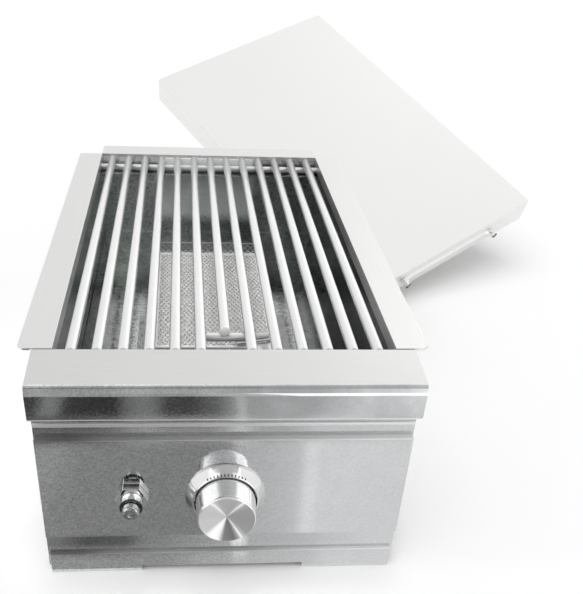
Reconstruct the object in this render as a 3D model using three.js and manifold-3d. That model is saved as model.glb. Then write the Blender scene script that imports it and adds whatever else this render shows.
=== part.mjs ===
// Built-in side burner: a stainless steel box that hangs in a counter cut-out by its side wings,
// with a round-bar grate, an infrared burner, one control knob, a push igniter and a lift-off lid.
// Millimetres, +Z up, the controls face -Y. The origin is the centre of the bottom pan's underside.
import * as THREE from "three";
import { mergeVertices } from "three/addons/utils/BufferGeometryUtils.js";
import Module from "manifold-3d";

const wasm = await Module();
wasm.setup();

// Overall sizes
const bodyWidth = 318;
const wingOverhang = 12;
const openingMargin = 16.5;
const openingLength = 497.5;
const topHeight = 218.5;
const deckDepth = 47;
const deckDrop = 5.7;
const rearFlangeDepth = 33;
const wingSpan = bodyWidth + 2 * wingOverhang;
const openingWidth = bodyWidth - 2 * openingMargin;

// Sheet, fits and cuts
const sheet = 1.2;
const fit = 0.3;
const overrun = 5;
const lipDepth = 14;
const seamReturn = 18;
const wingCornerCut = 5;
const hemWidth = 10.5;

// Nose of the deck
const noseReach = 2.5;
const noseRidgeDrop = 12;
const noseBottomHeight = 179.5;
const noseLipSetback = 1.5;
const noseBend = 2.4;

// Front of the body: setbacks are measured back from the deck's front edge
const panelSetback = 13;
const plateSetback = 7;
const plateInset = 0.5;
const plateBottomHeight = 46;
const plateTopHeight = 154;
const kickSetback = 9.5;
const kickInset = 1.7;
const kickHeight = 22.7;
const footWidth = 83;
const footHeight = 6;

// Bottom pan and rear panel
const panFlange = 20;
const gasHoleRadius = 12;
const ventLength = 46;
const ventHeight = 7;
const ventPitch = 64;
const ventCount = 4;
const ventEdge = 60;
const panHatchWidth = 120;
const panHatchLength = 90;

// Firebox liner
const linerDrop = 4;
const linerFloorHeight = 110.2;
const linerSlopeTop = 180;
const linerSlopeRun = 42.5;
const ledgeDepth = 25;
const ledgeLeg = 12;

// Grate
const rodRadius = 4.75;
const rodCount = 13;
const rodMargin = 14.1;
const rodSink = 0.5;
const rodEndClearance = 1.5;
const weldDepth = 0.7;
const crossRodRadius = 4;
const crossRodInset = 10;
const crossRodMargin = 4.5;
const lifterInset = 41.3;
const lifterOverlap = 4.3;
const rodSides = 12;

// Infrared burner
const burnerShift = -4;
const burnerLength = 236;
const burnerWidth = 128;
const burnerRimWidth = 6;
const burnerFrontInset = 150;
const burnerRimHeight = 126;
const burnerBoxHeight = 48;
const tileStep = 8;
const tileThickness = 13;
const screenThickness = 1;
const screenFrameWidth = 5;
const screenFrameHeight = 2.6;
const bracketLength = 75;
const bracketReach = 16;
const bracketFoot = 10;
const screwShankRadius = 2;
const screwHeadRadius = 4;
const screwHeadHeight = 2.2;

// Control axis, measured from the face of the control panel outwards
const controlHeight = 94;
const bezelRadius = 35;
const bezelFrontRadius = 28.6;
const bezelBoreRadius = 27.2;
const bezelDepth = 10;
const bezelShares = [
  [0, 0.1],
  [0.35, 0.4],
  [0.7, 0.72],
  [1, 1],
];
const knobRadius = 26.3;
const knobFaceRadius = 24.6;
const knobFaceReach = 32.5;
const knobDish = 4.5;
const dishShares = [
  [0.72, 0.38],
  [0.4, 0.76],
  [0.14, 0.97],
];
const knobBackReach = 5.3;
const knobWall = 3;
const knobFaceThickness = 3.5;
const knobBossRadius = 8;
const knobPush = 3;
const stemRadius = 3;
const stemFlatShare = 0.6;
const stemGrip = 12;
const stemTail = 7;

// Valve
const bonnetRadius = 11;
const bonnetWall = 1.6;
const bonnetLength = 17;
const bonnetEarReach = 19;
const bonnetEarRadius = 6;
const bonnetEarThickness = 3;
const collarThickness = 3;
const springWire = 0.9;
const springTurns = 4;
const springCoilRadius = 6.5;
const valveWidth = 30;
const valveTall = 34;
const valveLength = 26;
const spudHexRadius = 6.5;
const spudHexLength = 6;
const spudNoseRadius = 4;
const spudNoseLength = 6;

// Venturi and air shutter
const bellRadius = 15;
const bellLength = 18;
const bellCapHole = 6;
const bellTaper = 12;
const venturiRadius = 13;
const tubeWall = 1.2;
const bellGapToValve = 8;
const shutterRadius = 17;
const shutterLength = 13;
const windowAngleShare = 0.2;
const windowInset = 4;

// Gas pipe
const pipeRadius = 4.75;
const pipeHeight = 36;
const pipeExit = 100;
const pipeNutRadius = 9;
const pipeNutLength = 12;
const fittingHexRadius = 15;
const fittingHexLength = 8;
const fittingThreadRadius = 10;
const fittingThreadLength = 18;

// Igniter, measured from the face of the control panel outwards
const igniterOffset = -80.5;
const igniterHeight = 95;
const igniterBarrelRadius = 9;
const igniterBarrelReach = 15.5;
const igniterNutRadius = 14.3;
const igniterNutDepth = 7.5;
const igniterNutTurn = 30;
const igniterRingDepth = 1.5;
const igniterRingLip = 0.8;
const igniterButtonRadius = 7.5;
const igniterButtonReach = 25;
const igniterButtonLength = 15.5;
const igniterTravel = 4.5;
const buttonShares = [
  [1, 0.35],
  [0.92, 0.15],
  [0.7, 0.03],
  [0.4, 0],
  [0.3, 0.08],
  [0, 0.1],
];
const igniterFlangeRadius = 14;
const igniterFlangeThickness = 2.5;
const igniterModuleRadius = 12.5;
const igniterModuleLength = 48;
const terminalRadius = 3;
const terminalLength = 6;

// Electrode
const electrodeStart = 18;
const electrodeSetback = 6.75;
const electrodeTurn = 13;
const insulatorRadius = 3.6;
const insulatorLength = 36.5;
const electrodeWireRadius = 1.1;
const electrodeReach = 16;
const guardRodRadius = 1.8;
const holderWidth = 18.5;
const holderDepth = 21.7;
const holderRise = 130;
const leadRadius = 1.6;
const leadHoleRadius = 3.5;
const leadHoleX = 66;
const leadHoleSetback = 132.25;

// Lid
const lidWidth = 350;
const lidLength = 545;
const lidHeight = 38;
const lidCornerRadius = 5;
const lidEdgeBevel = 1.6;
const handleLength = 191;
const handleRadius = 4.5;
const handleStandoff = 27;
const handleBend = 14;
const handleDrop = 19;
const handleScrewDepth = 9;
const lidTilt = { pitch: 21.74, bank: -13.87, turn: 30.55 };
const lidCentre = { across: 216.7, behind: 784.8 };

// Places that follow from the sizes
const frontY = -(deckDepth + openingLength) / 2;
const openingFrontY = frontY + deckDepth;
const openingBackY = openingFrontY + openingLength;
const bodyHalf = bodyWidth / 2;
const openingHalf = openingWidth / 2;
const wingHalf = wingSpan / 2;
const panelFaceY = frontY + panelSetback;
const plateFaceY = frontY + plateSetback;
const plateHalf = bodyHalf - plateInset;
const kickHalf = bodyHalf - kickInset;
const linerHalf = openingHalf + sheet + fit;
const linerOuter = linerHalf + fit + sheet;
const linerBackY = openingBackY - fit - sheet;
const linerFrontY = openingFrontY - sheet - fit;
const linerTop = topHeight - linerDrop;
const rodAxisZ = topHeight - rodSink - rodRadius;
const rodPitch = (openingWidth - 2 * rodMargin) / (rodCount - 1);
const crossRodZ = rodAxisZ - rodRadius - crossRodRadius + weldDepth;
const ledgeTop = crossRodZ - crossRodRadius - fit;
const slopeFootY = linerFrontY + linerSlopeRun;
const burnerFrontY = openingFrontY + burnerFrontInset;
const burnerMidY = burnerFrontY + burnerLength / 2;
const sideFrontY = panelFaceY + seamReturn + fit;
const deckSlope = deckDrop / deckDepth;
const underDeck = (y) => topHeight - deckSlope * (openingFrontY - y) - sheet - 2 * fit;

// Finishes
const finish = (colour, roughness, metalness) =>
  new THREE.MeshStandardMaterial({ color: colour, roughness, metalness });
const brushed = finish(0xd2d3ce, 0.32, 1);
const pale = finish(0xe4e4e0, 0.25, 1);
const mirror = finish(0x5a605e, 0.12, 1);
const chrome = finish(0xe8e8e8, 0.08, 1);
const zinc = finish(0xa9aaa6, 0.45, 1);
const brass = finish(0xb89a55, 0.35, 1);
const ceramic = finish(0xe8dccb, 0.85, 0);
const black = finish(0x161616, 0.5, 0);

// Solids from geometry, joins and cuts

function solidFrom(geometry) {
  const bare = geometry.index ? geometry.toNonIndexed() : geometry.clone();
  bare.deleteAttribute("normal");
  bare.deleteAttribute("uv");
  const merged = mergeVertices(bare);
  const corners = merged.index.array;
  const outward = [];
  const inward = [];
  for (let i = 0; i < corners.length; i += 3) {
    const [a, b, c] = [corners[i], corners[i + 1], corners[i + 2]];
    if (a === b || b === c || c === a) continue;
    outward.push(a, b, c);
    inward.push(a, c, b);
  }
  const build = (triangles) =>
    new wasm.Manifold(
      new wasm.Mesh({
        numProp: 3,
        vertProperties: merged.attributes.position.array,
        triVerts: Uint32Array.from(triangles),
      }),
    );
  const solid = build(outward);
  return solid.volume() > 0 ? solid : build(inward);
}

function geometryOf(solid) {
  const mesh = solid.getMesh();
  const geometry = new THREE.BufferGeometry();
  geometry.setAttribute("position", new THREE.BufferAttribute(mesh.vertProperties.slice(), mesh.numProp));
  geometry.setIndex(new THREE.BufferAttribute(mesh.triVerts.slice(), 1));
  geometry.computeVertexNormals();
  return geometry;
}

const join = (first, ...others) => others.reduce((sum, next) => sum.add(next), first);
const cut = (body, ...tools) => tools.reduce((rest, tool) => rest.subtract(tool), body);

// A box between two values on each axis
function block(x0, x1, y0, y1, z0, z1) {
  const geometry = new THREE.BoxGeometry(x1 - x0, y1 - y0, z1 - z0);
  geometry.translate((x0 + x1) / 2, (y0 + y1) / 2, (z0 + z1) / 2);
  return solidFrom(geometry);
}

// A round or many-sided bar between two points
function bar(from, to, radius, sides) {
  const start = new THREE.Vector3(...from);
  const run = new THREE.Vector3(...to).sub(start);
  const geometry = new THREE.CylinderGeometry(radius, radius, run.length(), sides);
  geometry.translate(0, run.length() / 2, 0);
  const turn = new THREE.Quaternion().setFromUnitVectors(new THREE.Vector3(0, 1, 0), run.normalize());
  geometry.applyQuaternion(turn);
  geometry.translate(start.x, start.y, start.z);
  return solidFrom(geometry);
}

// A body turned about the Z axis from a profile of [radius, height] points
function turned(profile, segments) {
  const points = profile.map(([radius, height]) => new THREE.Vector2(radius, height));
  const geometry = new THREE.LatheGeometry(points, segments);
  geometry.rotateX(Math.PI / 2);
  return solidFrom(geometry);
}

// A ring turned about the Z axis, whose profile closes on itself
const turnedRing = (profile, segments) => turned([...profile, profile[0]], segments);

function outline(points) {
  const shape = new THREE.Shape();
  points.forEach(([x, y], i) => (i ? shape.lineTo(x, y) : shape.moveTo(x, y)));
  shape.closePath();
  return shape;
}

// Extrusions of an outline: up from the XY plane, across X from the YZ plane, or back from the XZ plane
function extrudeUp(points, z0, z1) {
  const geometry = new THREE.ExtrudeGeometry(outline(points), { depth: z1 - z0, bevelEnabled: false });
  geometry.translate(0, 0, z0);
  return solidFrom(geometry);
}

function extrudeAcross(points, x0, x1) {
  const geometry = new THREE.ExtrudeGeometry(outline(points), { depth: x1 - x0, bevelEnabled: false });
  const basis = new THREE.Matrix4().makeBasis(
    new THREE.Vector3(0, 1, 0),
    new THREE.Vector3(0, 0, 1),
    new THREE.Vector3(1, 0, 0),
  );
  geometry.applyMatrix4(basis);
  geometry.translate(x0, 0, 0);
  return solidFrom(geometry);
}

function extrudeBack(points, y0, y1) {
  const geometry = new THREE.ExtrudeGeometry(outline(points), { depth: y1 - y0, bevelEnabled: false });
  geometry.rotateX(Math.PI / 2);
  geometry.translate(0, y1, 0);
  return solidFrom(geometry);
}

// The corners of a path rounded by short arcs
function rounded(path, radius, steps) {
  const out = [path[0]];
  for (let i = 1; i < path.length - 1; i++) {
    const corner = new THREE.Vector2(...path[i]);
    const back = new THREE.Vector2(...path[i - 1]).sub(corner);
    const ahead = new THREE.Vector2(...path[i + 1]).sub(corner);
    const reach = Math.min(radius, back.length() / 2, ahead.length() / 2);
    const from = corner.clone().add(back.setLength(reach));
    const to = corner.clone().add(ahead.setLength(reach));
    const arc = new THREE.QuadraticBezierCurve(from, corner, to);
    arc.getPoints(steps).forEach((point) => out.push([point.x, point.y]));
  }
  out.push(path[path.length - 1]);
  return out;
}

// The outline of a bent sheet: a path and its copy, one thickness to the left, mitred at each bend
function bentSheet(path, thickness) {
  const last = path.length - 1;
  const heading = (i) =>
    new THREE.Vector2(path[i + 1][0] - path[i][0], path[i + 1][1] - path[i][1]).normalize();
  const far = path.map(([x, y], i) => {
    const before = heading(Math.max(i - 1, 0));
    const after = heading(Math.min(i, last - 1));
    const share = thickness / (1 + before.dot(after));
    return [x - (before.y + after.y) * share, y + (before.x + after.x) * share];
  });
  return [...path, ...far.reverse()];
}

// A folded pan: a box with walls one sheet thick and one side open, "back", "up" or "down"
function pan(x0, x1, y0, y1, z0, z1, open) {
  const inside = {
    back: [x0 + sheet, x1 - sheet, y0 + sheet, y1 + overrun, z0 + sheet, z1 - sheet],
    up: [x0 + sheet, x1 - sheet, y0 + sheet, y1 - sheet, z0 + sheet, z1 + overrun],
    down: [x0 + sheet, x1 - sheet, y0 + sheet, y1 - sheet, z0 - overrun, z1 - sheet],
  }[open];
  return cut(block(x0, x1, y0, y1, z0, z1), block(...inside));
}

// A tube or wire along a smooth curve
function swept(curve, radius, sides, steps) {
  const section = new THREE.Shape().absarc(0, 0, radius, 0, 2 * Math.PI);
  const geometry = new THREE.ExtrudeGeometry(section, {
    steps,
    curveSegments: sides / 2,
    extrudePath: curve,
    bevelEnabled: false,
  });
  return solidFrom(geometry);
}

const smooth = (points) => new THREE.CatmullRomCurve3(points.map((point) => new THREE.Vector3(...point)));

// The scene graph
const burner = new THREE.Group();
burner.name = "side_burner";

function addPiece(group, name, solid, material) {
  const mesh = new THREE.Mesh(geometryOf(solid), material);
  mesh.name = name;
  group.add(mesh);
  return mesh;
}

// Groups whose +Z points out of the control panel towards the user
function controlGroup(x, height) {
  const group = new THREE.Group();
  group.position.set(x, plateFaceY, height);
  group.rotation.x = Math.PI / 2;
  burner.add(group);
  return group;
}

const along = (y) => plateFaceY - y;

// Wings, the flat counter flanges beside the grate, their outer edge folded under
function buildWing(side) {
  const path = [
    [wingHalf, topHeight],
    [openingHalf, topHeight],
    [openingHalf, topHeight - lipDepth],
  ];
  const corner = [
    [wingHalf - wingCornerCut, openingFrontY],
    [wingHalf + overrun, openingFrontY - overrun],
    [wingHalf + overrun, openingFrontY + wingCornerCut + overrun],
  ];
  const [start, end] = [openingFrontY + fit, openingBackY - fit];
  const hemTop = topHeight - sheet / 2;
  const wing = cut(
    join(
      extrudeBack(bentSheet(path, sheet), start, end),
      block(wingHalf - hemWidth, wingHalf, start, end, topHeight - 2 * sheet, hemTop),
    ),
    extrudeUp(corner, topHeight - lipDepth, topHeight + overrun),
    block(
      openingHalf - overrun,
      linerHalf,
      linerBackY - fit,
      openingBackY + overrun,
      topHeight - lipDepth - overrun,
      topHeight - sheet,
    ),
  );
  return side > 0 ? wing : wing.mirror([1, 0, 0]);
}
addPiece(burner, "left_wing", buildWing(-1), pale);
addPiece(burner, "right_wing", buildWing(1), pale);

// Side panels, bent in at the top under the wings
function buildSidePanel(side) {
  const top = topHeight - sheet - fit;
  const path = [
    [linerOuter + fit, top],
    [bodyHalf, top],
    [bodyHalf, 0],
  ];
  const panel = cut(
    extrudeBack(bentSheet(path, -sheet), sideFrontY, openingBackY - fit),
    block(
      openingHalf,
      bodyHalf + overrun,
      sideFrontY - overrun,
      openingFrontY + fit,
      underDeck(sideFrontY),
      topHeight + overrun,
    ),
  );
  return side > 0 ? panel : panel.mirror([1, 0, 0]);
}
addPiece(burner, "left_side_panel", buildSidePanel(-1), brushed);
addPiece(burner, "right_side_panel", buildSidePanel(1), brushed);

// Bottom pan with a hatch for the gas line
const panHalf = bodyHalf - sheet - fit;
const panBackY = openingBackY - fit;
const panHatchY = panBackY - panHatchLength - ventEdge;
addPiece(
  burner,
  "base_pan",
  cut(
    pan(-panHalf, panHalf, sideFrontY, panBackY, 0, panFlange, "up"),
    block(
      pipeExit - panHatchWidth / 2 - ventEdge / 2,
      pipeExit + panHatchWidth / 2 - ventEdge / 2,
      panHatchY,
      panHatchY + panHatchLength,
      -overrun,
      sheet + overrun,
    ),
  ),
  brushed,
);

// Rear panel with the flat flange, the vents and the hole for the gas fitting
function buildRearPanel() {
  const flange = [
    [openingBackY + rearFlangeDepth, topHeight],
    [openingBackY, topHeight],
    [openingBackY, topHeight - lipDepth],
  ];
  const wall = block(-bodyHalf, bodyHalf, openingBackY, openingBackY + sheet, 0, topHeight - sheet - fit);
  let panel = join(extrudeAcross(bentSheet(flange, sheet), -openingHalf, openingHalf), wall);
  const hole = bar(
    [pipeExit, openingBackY - overrun, pipeHeight],
    [pipeExit, openingBackY + overrun, pipeHeight],
    gasHoleRadius,
    24,
  );
  panel = cut(panel, hole);
  for (let row = 0; row < 2; row++) {
    for (let i = 0; i < ventCount; i++) {
      const x = (i - (ventCount - 1) / 2) * ventPitch;
      const z = linerFloorHeight - ventEdge / 2 - row * ventHeight * 2;
      panel = cut(
        panel,
        block(
          x - ventLength / 2,
          x + ventLength / 2,
          openingBackY - overrun,
          openingBackY + overrun,
          z - ventHeight / 2,
          z + ventHeight / 2,
        ),
      );
    }
  }
  return panel;
}
addPiece(burner, "rear_panel", buildRearPanel(), brushed);

// Deck in front of the grate, with the nose, its rolled lip and closed ends
function buildDeck() {
  const path = [
    [openingFrontY, topHeight - lipDepth],
    [openingFrontY, topHeight],
    [frontY, topHeight - deckDrop],
    [frontY - noseReach, topHeight - noseRidgeDrop],
    [frontY - noseLipSetback, noseBottomHeight],
    [panelFaceY - fit, noseBottomHeight],
  ];
  const bent = bentSheet(rounded(path, noseBend, 3), sheet);
  const end = [
    [panelFaceY - fit, noseBottomHeight + sheet],
    [frontY - noseLipSetback + sheet, noseBottomHeight + sheet],
    [frontY - noseReach + sheet, topHeight - noseRidgeDrop],
    [frontY + sheet / 2, topHeight - deckDrop - sheet],
    [panelFaceY - fit, topHeight - deckDrop - sheet / 2],
  ];
  const trim = (x0, x1) =>
    block(
      x0,
      x1,
      openingFrontY - overrun,
      openingFrontY + overrun,
      topHeight - lipDepth - overrun,
      underDeck(openingFrontY),
    );
  return join(
    cut(
      extrudeAcross(bent, -bodyHalf, bodyHalf),
      trim(-bodyHalf - overrun, -openingHalf),
      trim(openingHalf, bodyHalf + overrun),
    ),
    extrudeAcross(end, -bodyHalf, -bodyHalf + sheet),
    extrudeAcross(end, bodyHalf - sheet, bodyHalf),
  );
}
addPiece(burner, "front_deck", buildDeck(), brushed);

// Front panel, a pan open to the back, with holes on the two control axes
const panelTop = underDeck(panelFaceY);
const holeAlongY = (x, z, radius) =>
  bar([x, plateFaceY - overrun, z], [x, panelFaceY + sheet + overrun / 2, z], radius, 32);
const igniterHole = holeAlongY(igniterOffset, igniterHeight, igniterBarrelRadius + fit);
const stemHole = holeAlongY(0, controlHeight, stemRadius * 2);
function screwHoles(radius) {
  return [-1, 1].map((side) => holeAlongY(side * bonnetEarReach, controlHeight, radius));
}
addPiece(
  burner,
  "front_panel",
  cut(
    pan(-bodyHalf, bodyHalf, panelFaceY, panelFaceY + seamReturn, footHeight, panelTop, "back"),
    igniterHole,
    stemHole,
    ...screwHoles(screwShankRadius + fit),
  ),
  brushed,
);

// Raised control panel
addPiece(
  burner,
  "control_panel",
  cut(
    pan(
      -plateHalf,
      plateHalf,
      plateFaceY,
      panelFaceY - fit,
      plateBottomHeight,
      plateTopHeight,
      "back",
    ),
    igniterHole,
    stemHole,
  ),
  brushed,
);

// Kick plate with its two feet
addPiece(
  burner,
  "kick_plate",
  cut(
    pan(-kickHalf, kickHalf, frontY + kickSetback, panelFaceY - fit, 0, kickHeight, "back"),
    block(-kickHalf + footWidth, kickHalf - footWidth, frontY, panelFaceY, -overrun, footHeight),
  ),
  brushed,
);

// Firebox liner: a floor, a sloped front and a rear wall from one bent sheet, between two side plates
const boxHalf = burnerWidth / 2;
const cutoutHalf = boxHalf + 2 * fit;
const linerPath = [
  [linerBackY, linerTop],
  [linerBackY, linerFloorHeight],
  [slopeFootY, linerFloorHeight],
  [linerFrontY, linerSlopeTop],
  [linerFrontY, linerTop],
];
const linerSkin = bentSheet(linerPath, sheet);
const linerSide = linerSkin.slice(linerPath.length);
addPiece(burner, "liner_side_left", extrudeAcross(linerSide, -linerOuter, -linerHalf - fit), mirror);
addPiece(burner, "liner_side_right", extrudeAcross(linerSide, linerHalf + fit, linerOuter), mirror);

const leadHoleY = openingFrontY + leadHoleSetback;
function buildLiner() {
  return cut(
    extrudeAcross(linerSkin, -linerHalf, linerHalf),
    block(
      burnerShift - cutoutHalf,
      burnerShift + cutoutHalf,
      burnerFrontY - 2 * fit,
      burnerFrontY + burnerLength + 2 * fit,
      linerFloorHeight - overrun,
      linerFloorHeight + overrun,
    ),
    bar(
      [leadHoleX, leadHoleY, linerFloorHeight - overrun],
      [leadHoleX, leadHoleY, linerFloorHeight + overrun],
      leadHoleRadius,
      20,
    ),
  );
}
addPiece(burner, "firebox_liner", buildLiner(), mirror);

// Ledges that carry the grate
function buildLedge(wallY, inward) {
  const path = [
    [wallY + inward * ledgeDepth, ledgeTop],
    [wallY + inward * fit, ledgeTop],
    [wallY + inward * fit, ledgeTop - ledgeLeg],
  ];
  return extrudeAcross(bentSheet(path, inward * sheet), -linerHalf + fit, linerHalf - fit);
}
addPiece(burner, "front_grate_ledge", buildLedge(linerFrontY, 1), mirror);
addPiece(burner, "rear_grate_ledge", buildLedge(linerBackY, -1), mirror);

// Grate: round bars welded on two cross rods, the middle bar stopping over the lifter bar
function buildGrate() {
  const front = openingFrontY + rodEndClearance;
  const back = linerBackY - rodEndClearance;
  const lifterY = openingFrontY + lifterInset;
  const middle = (rodCount - 1) / 2;
  const rods = [];
  for (let i = 0; i < rodCount; i++) {
    const x = (i - middle) * rodPitch;
    const start = i === middle ? lifterY - lifterOverlap : front;
    rods.push(bar([x, start, rodAxisZ], [x, back, rodAxisZ], rodRadius, rodSides));
  }
  const crossRods = [
    [front + crossRodInset, openingHalf - crossRodMargin],
    [back - crossRodInset, openingHalf - crossRodMargin],
    [lifterY, rodPitch + crossRodRadius / 2],
  ];
  for (const [y, half] of crossRods) {
    rods.push(bar([-half, y, crossRodZ], [half, y, crossRodZ], crossRodRadius, rodSides));
  }
  return join(...rods);
}
addPiece(burner, "grate", buildGrate(), chrome);

// Infrared burner: a stepped box with an out-turned rim, two tiles and a framed screen
const boxBottom = burnerRimHeight - burnerBoxHeight;
const tileSeat = burnerRimHeight - tileThickness - fit;
const venturiEndY = burnerFrontY + tileStep;
function buildBurnerBox() {
  const span = (inset) => [
    burnerShift - boxHalf + inset,
    burnerShift + boxHalf - inset,
    burnerFrontY + inset,
    burnerFrontY + burnerLength - inset,
  ];
  const lower = block(...span(tileStep), boxBottom, tileSeat);
  const upper = block(...span(0), tileSeat - sheet, burnerRimHeight);
  const rim = block(...span(-burnerRimWidth), burnerRimHeight - sheet, burnerRimHeight);
  const lowerInside = block(...span(tileStep + sheet), boxBottom + sheet, tileSeat + overrun);
  const upperInside = block(...span(sheet), tileSeat, burnerRimHeight + overrun);
  const inlet = bar(
    [0, burnerFrontY - overrun, controlHeight],
    [0, burnerFrontY + tileStep + overrun, controlHeight],
    venturiRadius + fit,
    32,
  );
  const screws = bracketScrewPlaces.map(([x, y]) =>
    bar([x, y, burnerRimHeight - overrun], [x, y, burnerRimHeight + overrun], screwShankRadius + fit, 16),
  );
  return cut(join(lower, upper, rim), lowerInside, upperInside, inlet, ...screws);
}

function buildTile(index) {
  const inner = sheet + fit;
  const length = (burnerLength - 2 * inner - fit) / 2;
  const start = burnerFrontY + inner + index * (length + fit);
  return block(
    burnerShift - boxHalf + inner,
    burnerShift + boxHalf - inner,
    start,
    start + length,
    tileSeat + fit,
    burnerRimHeight,
  );
}

function buildScreen() {
  const bottom = burnerRimHeight + fit;
  const x0 = burnerShift - boxHalf + fit;
  const x1 = burnerShift + boxHalf - fit;
  const y0 = burnerFrontY + fit;
  const y1 = burnerFrontY + burnerLength - fit;
  return cut(
    block(x0, x1, y0, y1, bottom, bottom + screenFrameHeight),
    block(
      x0 + screenFrameWidth,
      x1 - screenFrameWidth,
      y0 + screenFrameWidth,
      y1 - screenFrameWidth,
      bottom + screenThickness,
      bottom + screenFrameHeight + overrun,
    ),
  );
}

// Brackets that carry the burner's rim on the liner floor, and their screws
const bracketTop = burnerRimHeight - sheet - fit;
const bracketInner = boxHalf + fit;
const bracketOuter = bracketInner + bracketReach;
const bracketStartY = burnerFrontY;
const rimScrewReach = boxHalf + burnerRimWidth / 2;
const bracketScrewPlaces = [
  [burnerShift - rimScrewReach, bracketStartY + bracketLength - bracketFoot],
  [burnerShift + rimScrewReach, bracketStartY + bracketLength - bracketFoot],
  [burnerShift, burnerFrontY + burnerLength + burnerRimWidth / 2],
];
const screwBore = ([x, y]) =>
  bar([x, y, bracketTop - overrun], [x, y, bracketTop + overrun], screwShankRadius + fit, 16);

function bracketPath(inner, outer) {
  return [
    [inner, bracketTop],
    [outer, bracketTop],
    [outer, linerFloorHeight + fit],
    [outer - bracketFoot, linerFloorHeight + fit],
  ];
}

function buildSideBracket(side) {
  const inner = side * bracketInner;
  const outer = side * bracketOuter;
  const path = bracketPath(0, bracketOuter - bracketInner).map(([x, z]) => [inner + side * x, z]);
  const section = bentSheet(path, -side * sheet).map(([x, z]) => [x + burnerShift, z]);
  const bracket = extrudeBack(section, bracketStartY, bracketStartY + bracketLength);
  return { bracket, outer };
}
addPiece(
  burner,
  "burner_bracket_left",
  cut(buildSideBracket(-1).bracket, screwBore(bracketScrewPlaces[0])),
  brushed,
);
addPiece(
  burner,
  "burner_bracket_right",
  cut(buildSideBracket(1).bracket, screwBore(bracketScrewPlaces[1])),
  brushed,
);
const rearBracketY = burnerFrontY + burnerLength + fit;
addPiece(
  burner,
  "burner_bracket_rear",
  cut(
    extrudeAcross(
      bentSheet(
        bracketPath(rearBracketY, rearBracketY + bracketReach),
        -sheet,
      ),
      burnerShift - bracketLength / 2,
      burnerShift + bracketLength / 2,
    ),
    screwBore(bracketScrewPlaces[2]),
  ),
  brushed,
);
addPiece(burner, "burner_box", buildBurnerBox(), brushed);
addPiece(burner, "ceramic_tile_front", buildTile(0), ceramic);
addPiece(burner, "ceramic_tile_rear", buildTile(1), ceramic);
addPiece(burner, "burner_screen", buildScreen(), brushed);

["left", "right", "rear"].forEach((place, i) => {
  const [x, y] = bracketScrewPlaces[i];
  const under = burnerRimHeight + fit;
  const shank = bracketTop - sheet - screwHeadHeight;
  addPiece(
    burner,
    `bracket_screw_${place}`,
    join(
      bar([x, y, shank], [x, y, under + weldDepth], screwShankRadius, 12),
      bar([x, y, under], [x, y, under + screwHeadHeight], burnerRimWidth / 2, 16),
    ),
    chrome,
  );
});

// Knob, bezel, stem and valve, on one axis
const control = controlGroup(0, controlHeight);
const bonnetFront = along(panelFaceY + sheet) - fit;
const bonnetBack = bonnetFront - bonnetLength;
const valveFront = bonnetBack - fit;
const valveBack = valveFront - valveLength;

addPiece(
  control,
  "knob_bezel",
  turnedRing(
    [
      [bezelBoreRadius, fit],
      [bezelRadius, fit],
      ...bezelShares.map(([inward, outward]) => [
        bezelRadius - inward * (bezelRadius - bezelFrontRadius),
        outward * bezelDepth,
      ]),
      [bezelBoreRadius, bezelDepth - (bezelFrontRadius - bezelBoreRadius) / 2],
    ],
    40,
  ),
  chrome,
);

const stemBoreRadius = stemRadius + fit;
const stemFront = knobBackReach + stemGrip;
function stemSection(radius, z0, z1) {
  const round = bar([0, 0, z0], [0, 0, z1], radius, 24);
  const flat = radius * stemFlatShare;
  return cut(round, block(-radius, radius, flat, radius + overrun, z0 - overrun, z1 + overrun));
}
function buildKnob() {
  const innerFace = knobFaceReach - knobDish - knobFaceThickness;
  const dishRadius = knobFaceRadius - knobWall / 3;
  const body = turned(
    [
      [0, knobBackReach],
      [knobBossRadius, knobBackReach],
      [knobBossRadius, innerFace],
      [knobFaceRadius - knobWall, innerFace],
      [knobRadius - knobWall, knobBackReach],
      [knobRadius - knobWall / 4, knobBackReach],
      [knobRadius, knobBackReach + knobWall / 4],
      [knobFaceRadius, knobFaceReach - knobWall / 3],
      [dishRadius, knobFaceReach],
      ...dishShares.map(([radial, depth]) => [radial * dishRadius, knobFaceReach - depth * knobDish]),
      [0, knobFaceReach - knobDish],
    ],
    40,
  );
  return cut(body, stemSection(stemBoreRadius, knobBackReach - overrun, stemFront + fit));
}
addPiece(control, "knob", buildKnob(), chrome);

const collarRadius = bonnetRadius - bonnetWall - fit;
const collarFront = bonnetFront - bonnetWall - fit;
const collarBack = collarFront - collarThickness;
const stemBack = valveFront - stemTail;
addPiece(
  control,
  "valve_stem",
  join(
    stemSection(stemRadius, collarFront, stemFront),
    bar([0, 0, stemBack], [0, 0, collarFront + weldDepth], stemRadius, 24),
  ),
  zinc,
);
addPiece(
  control,
  "stem_collar",
  turnedRing(
    [
      [stemBoreRadius, collarBack],
      [collarRadius, collarBack],
      [collarRadius, collarFront],
      [stemBoreRadius, collarFront],
    ],
    32,
  ),
  brass,
);

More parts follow.
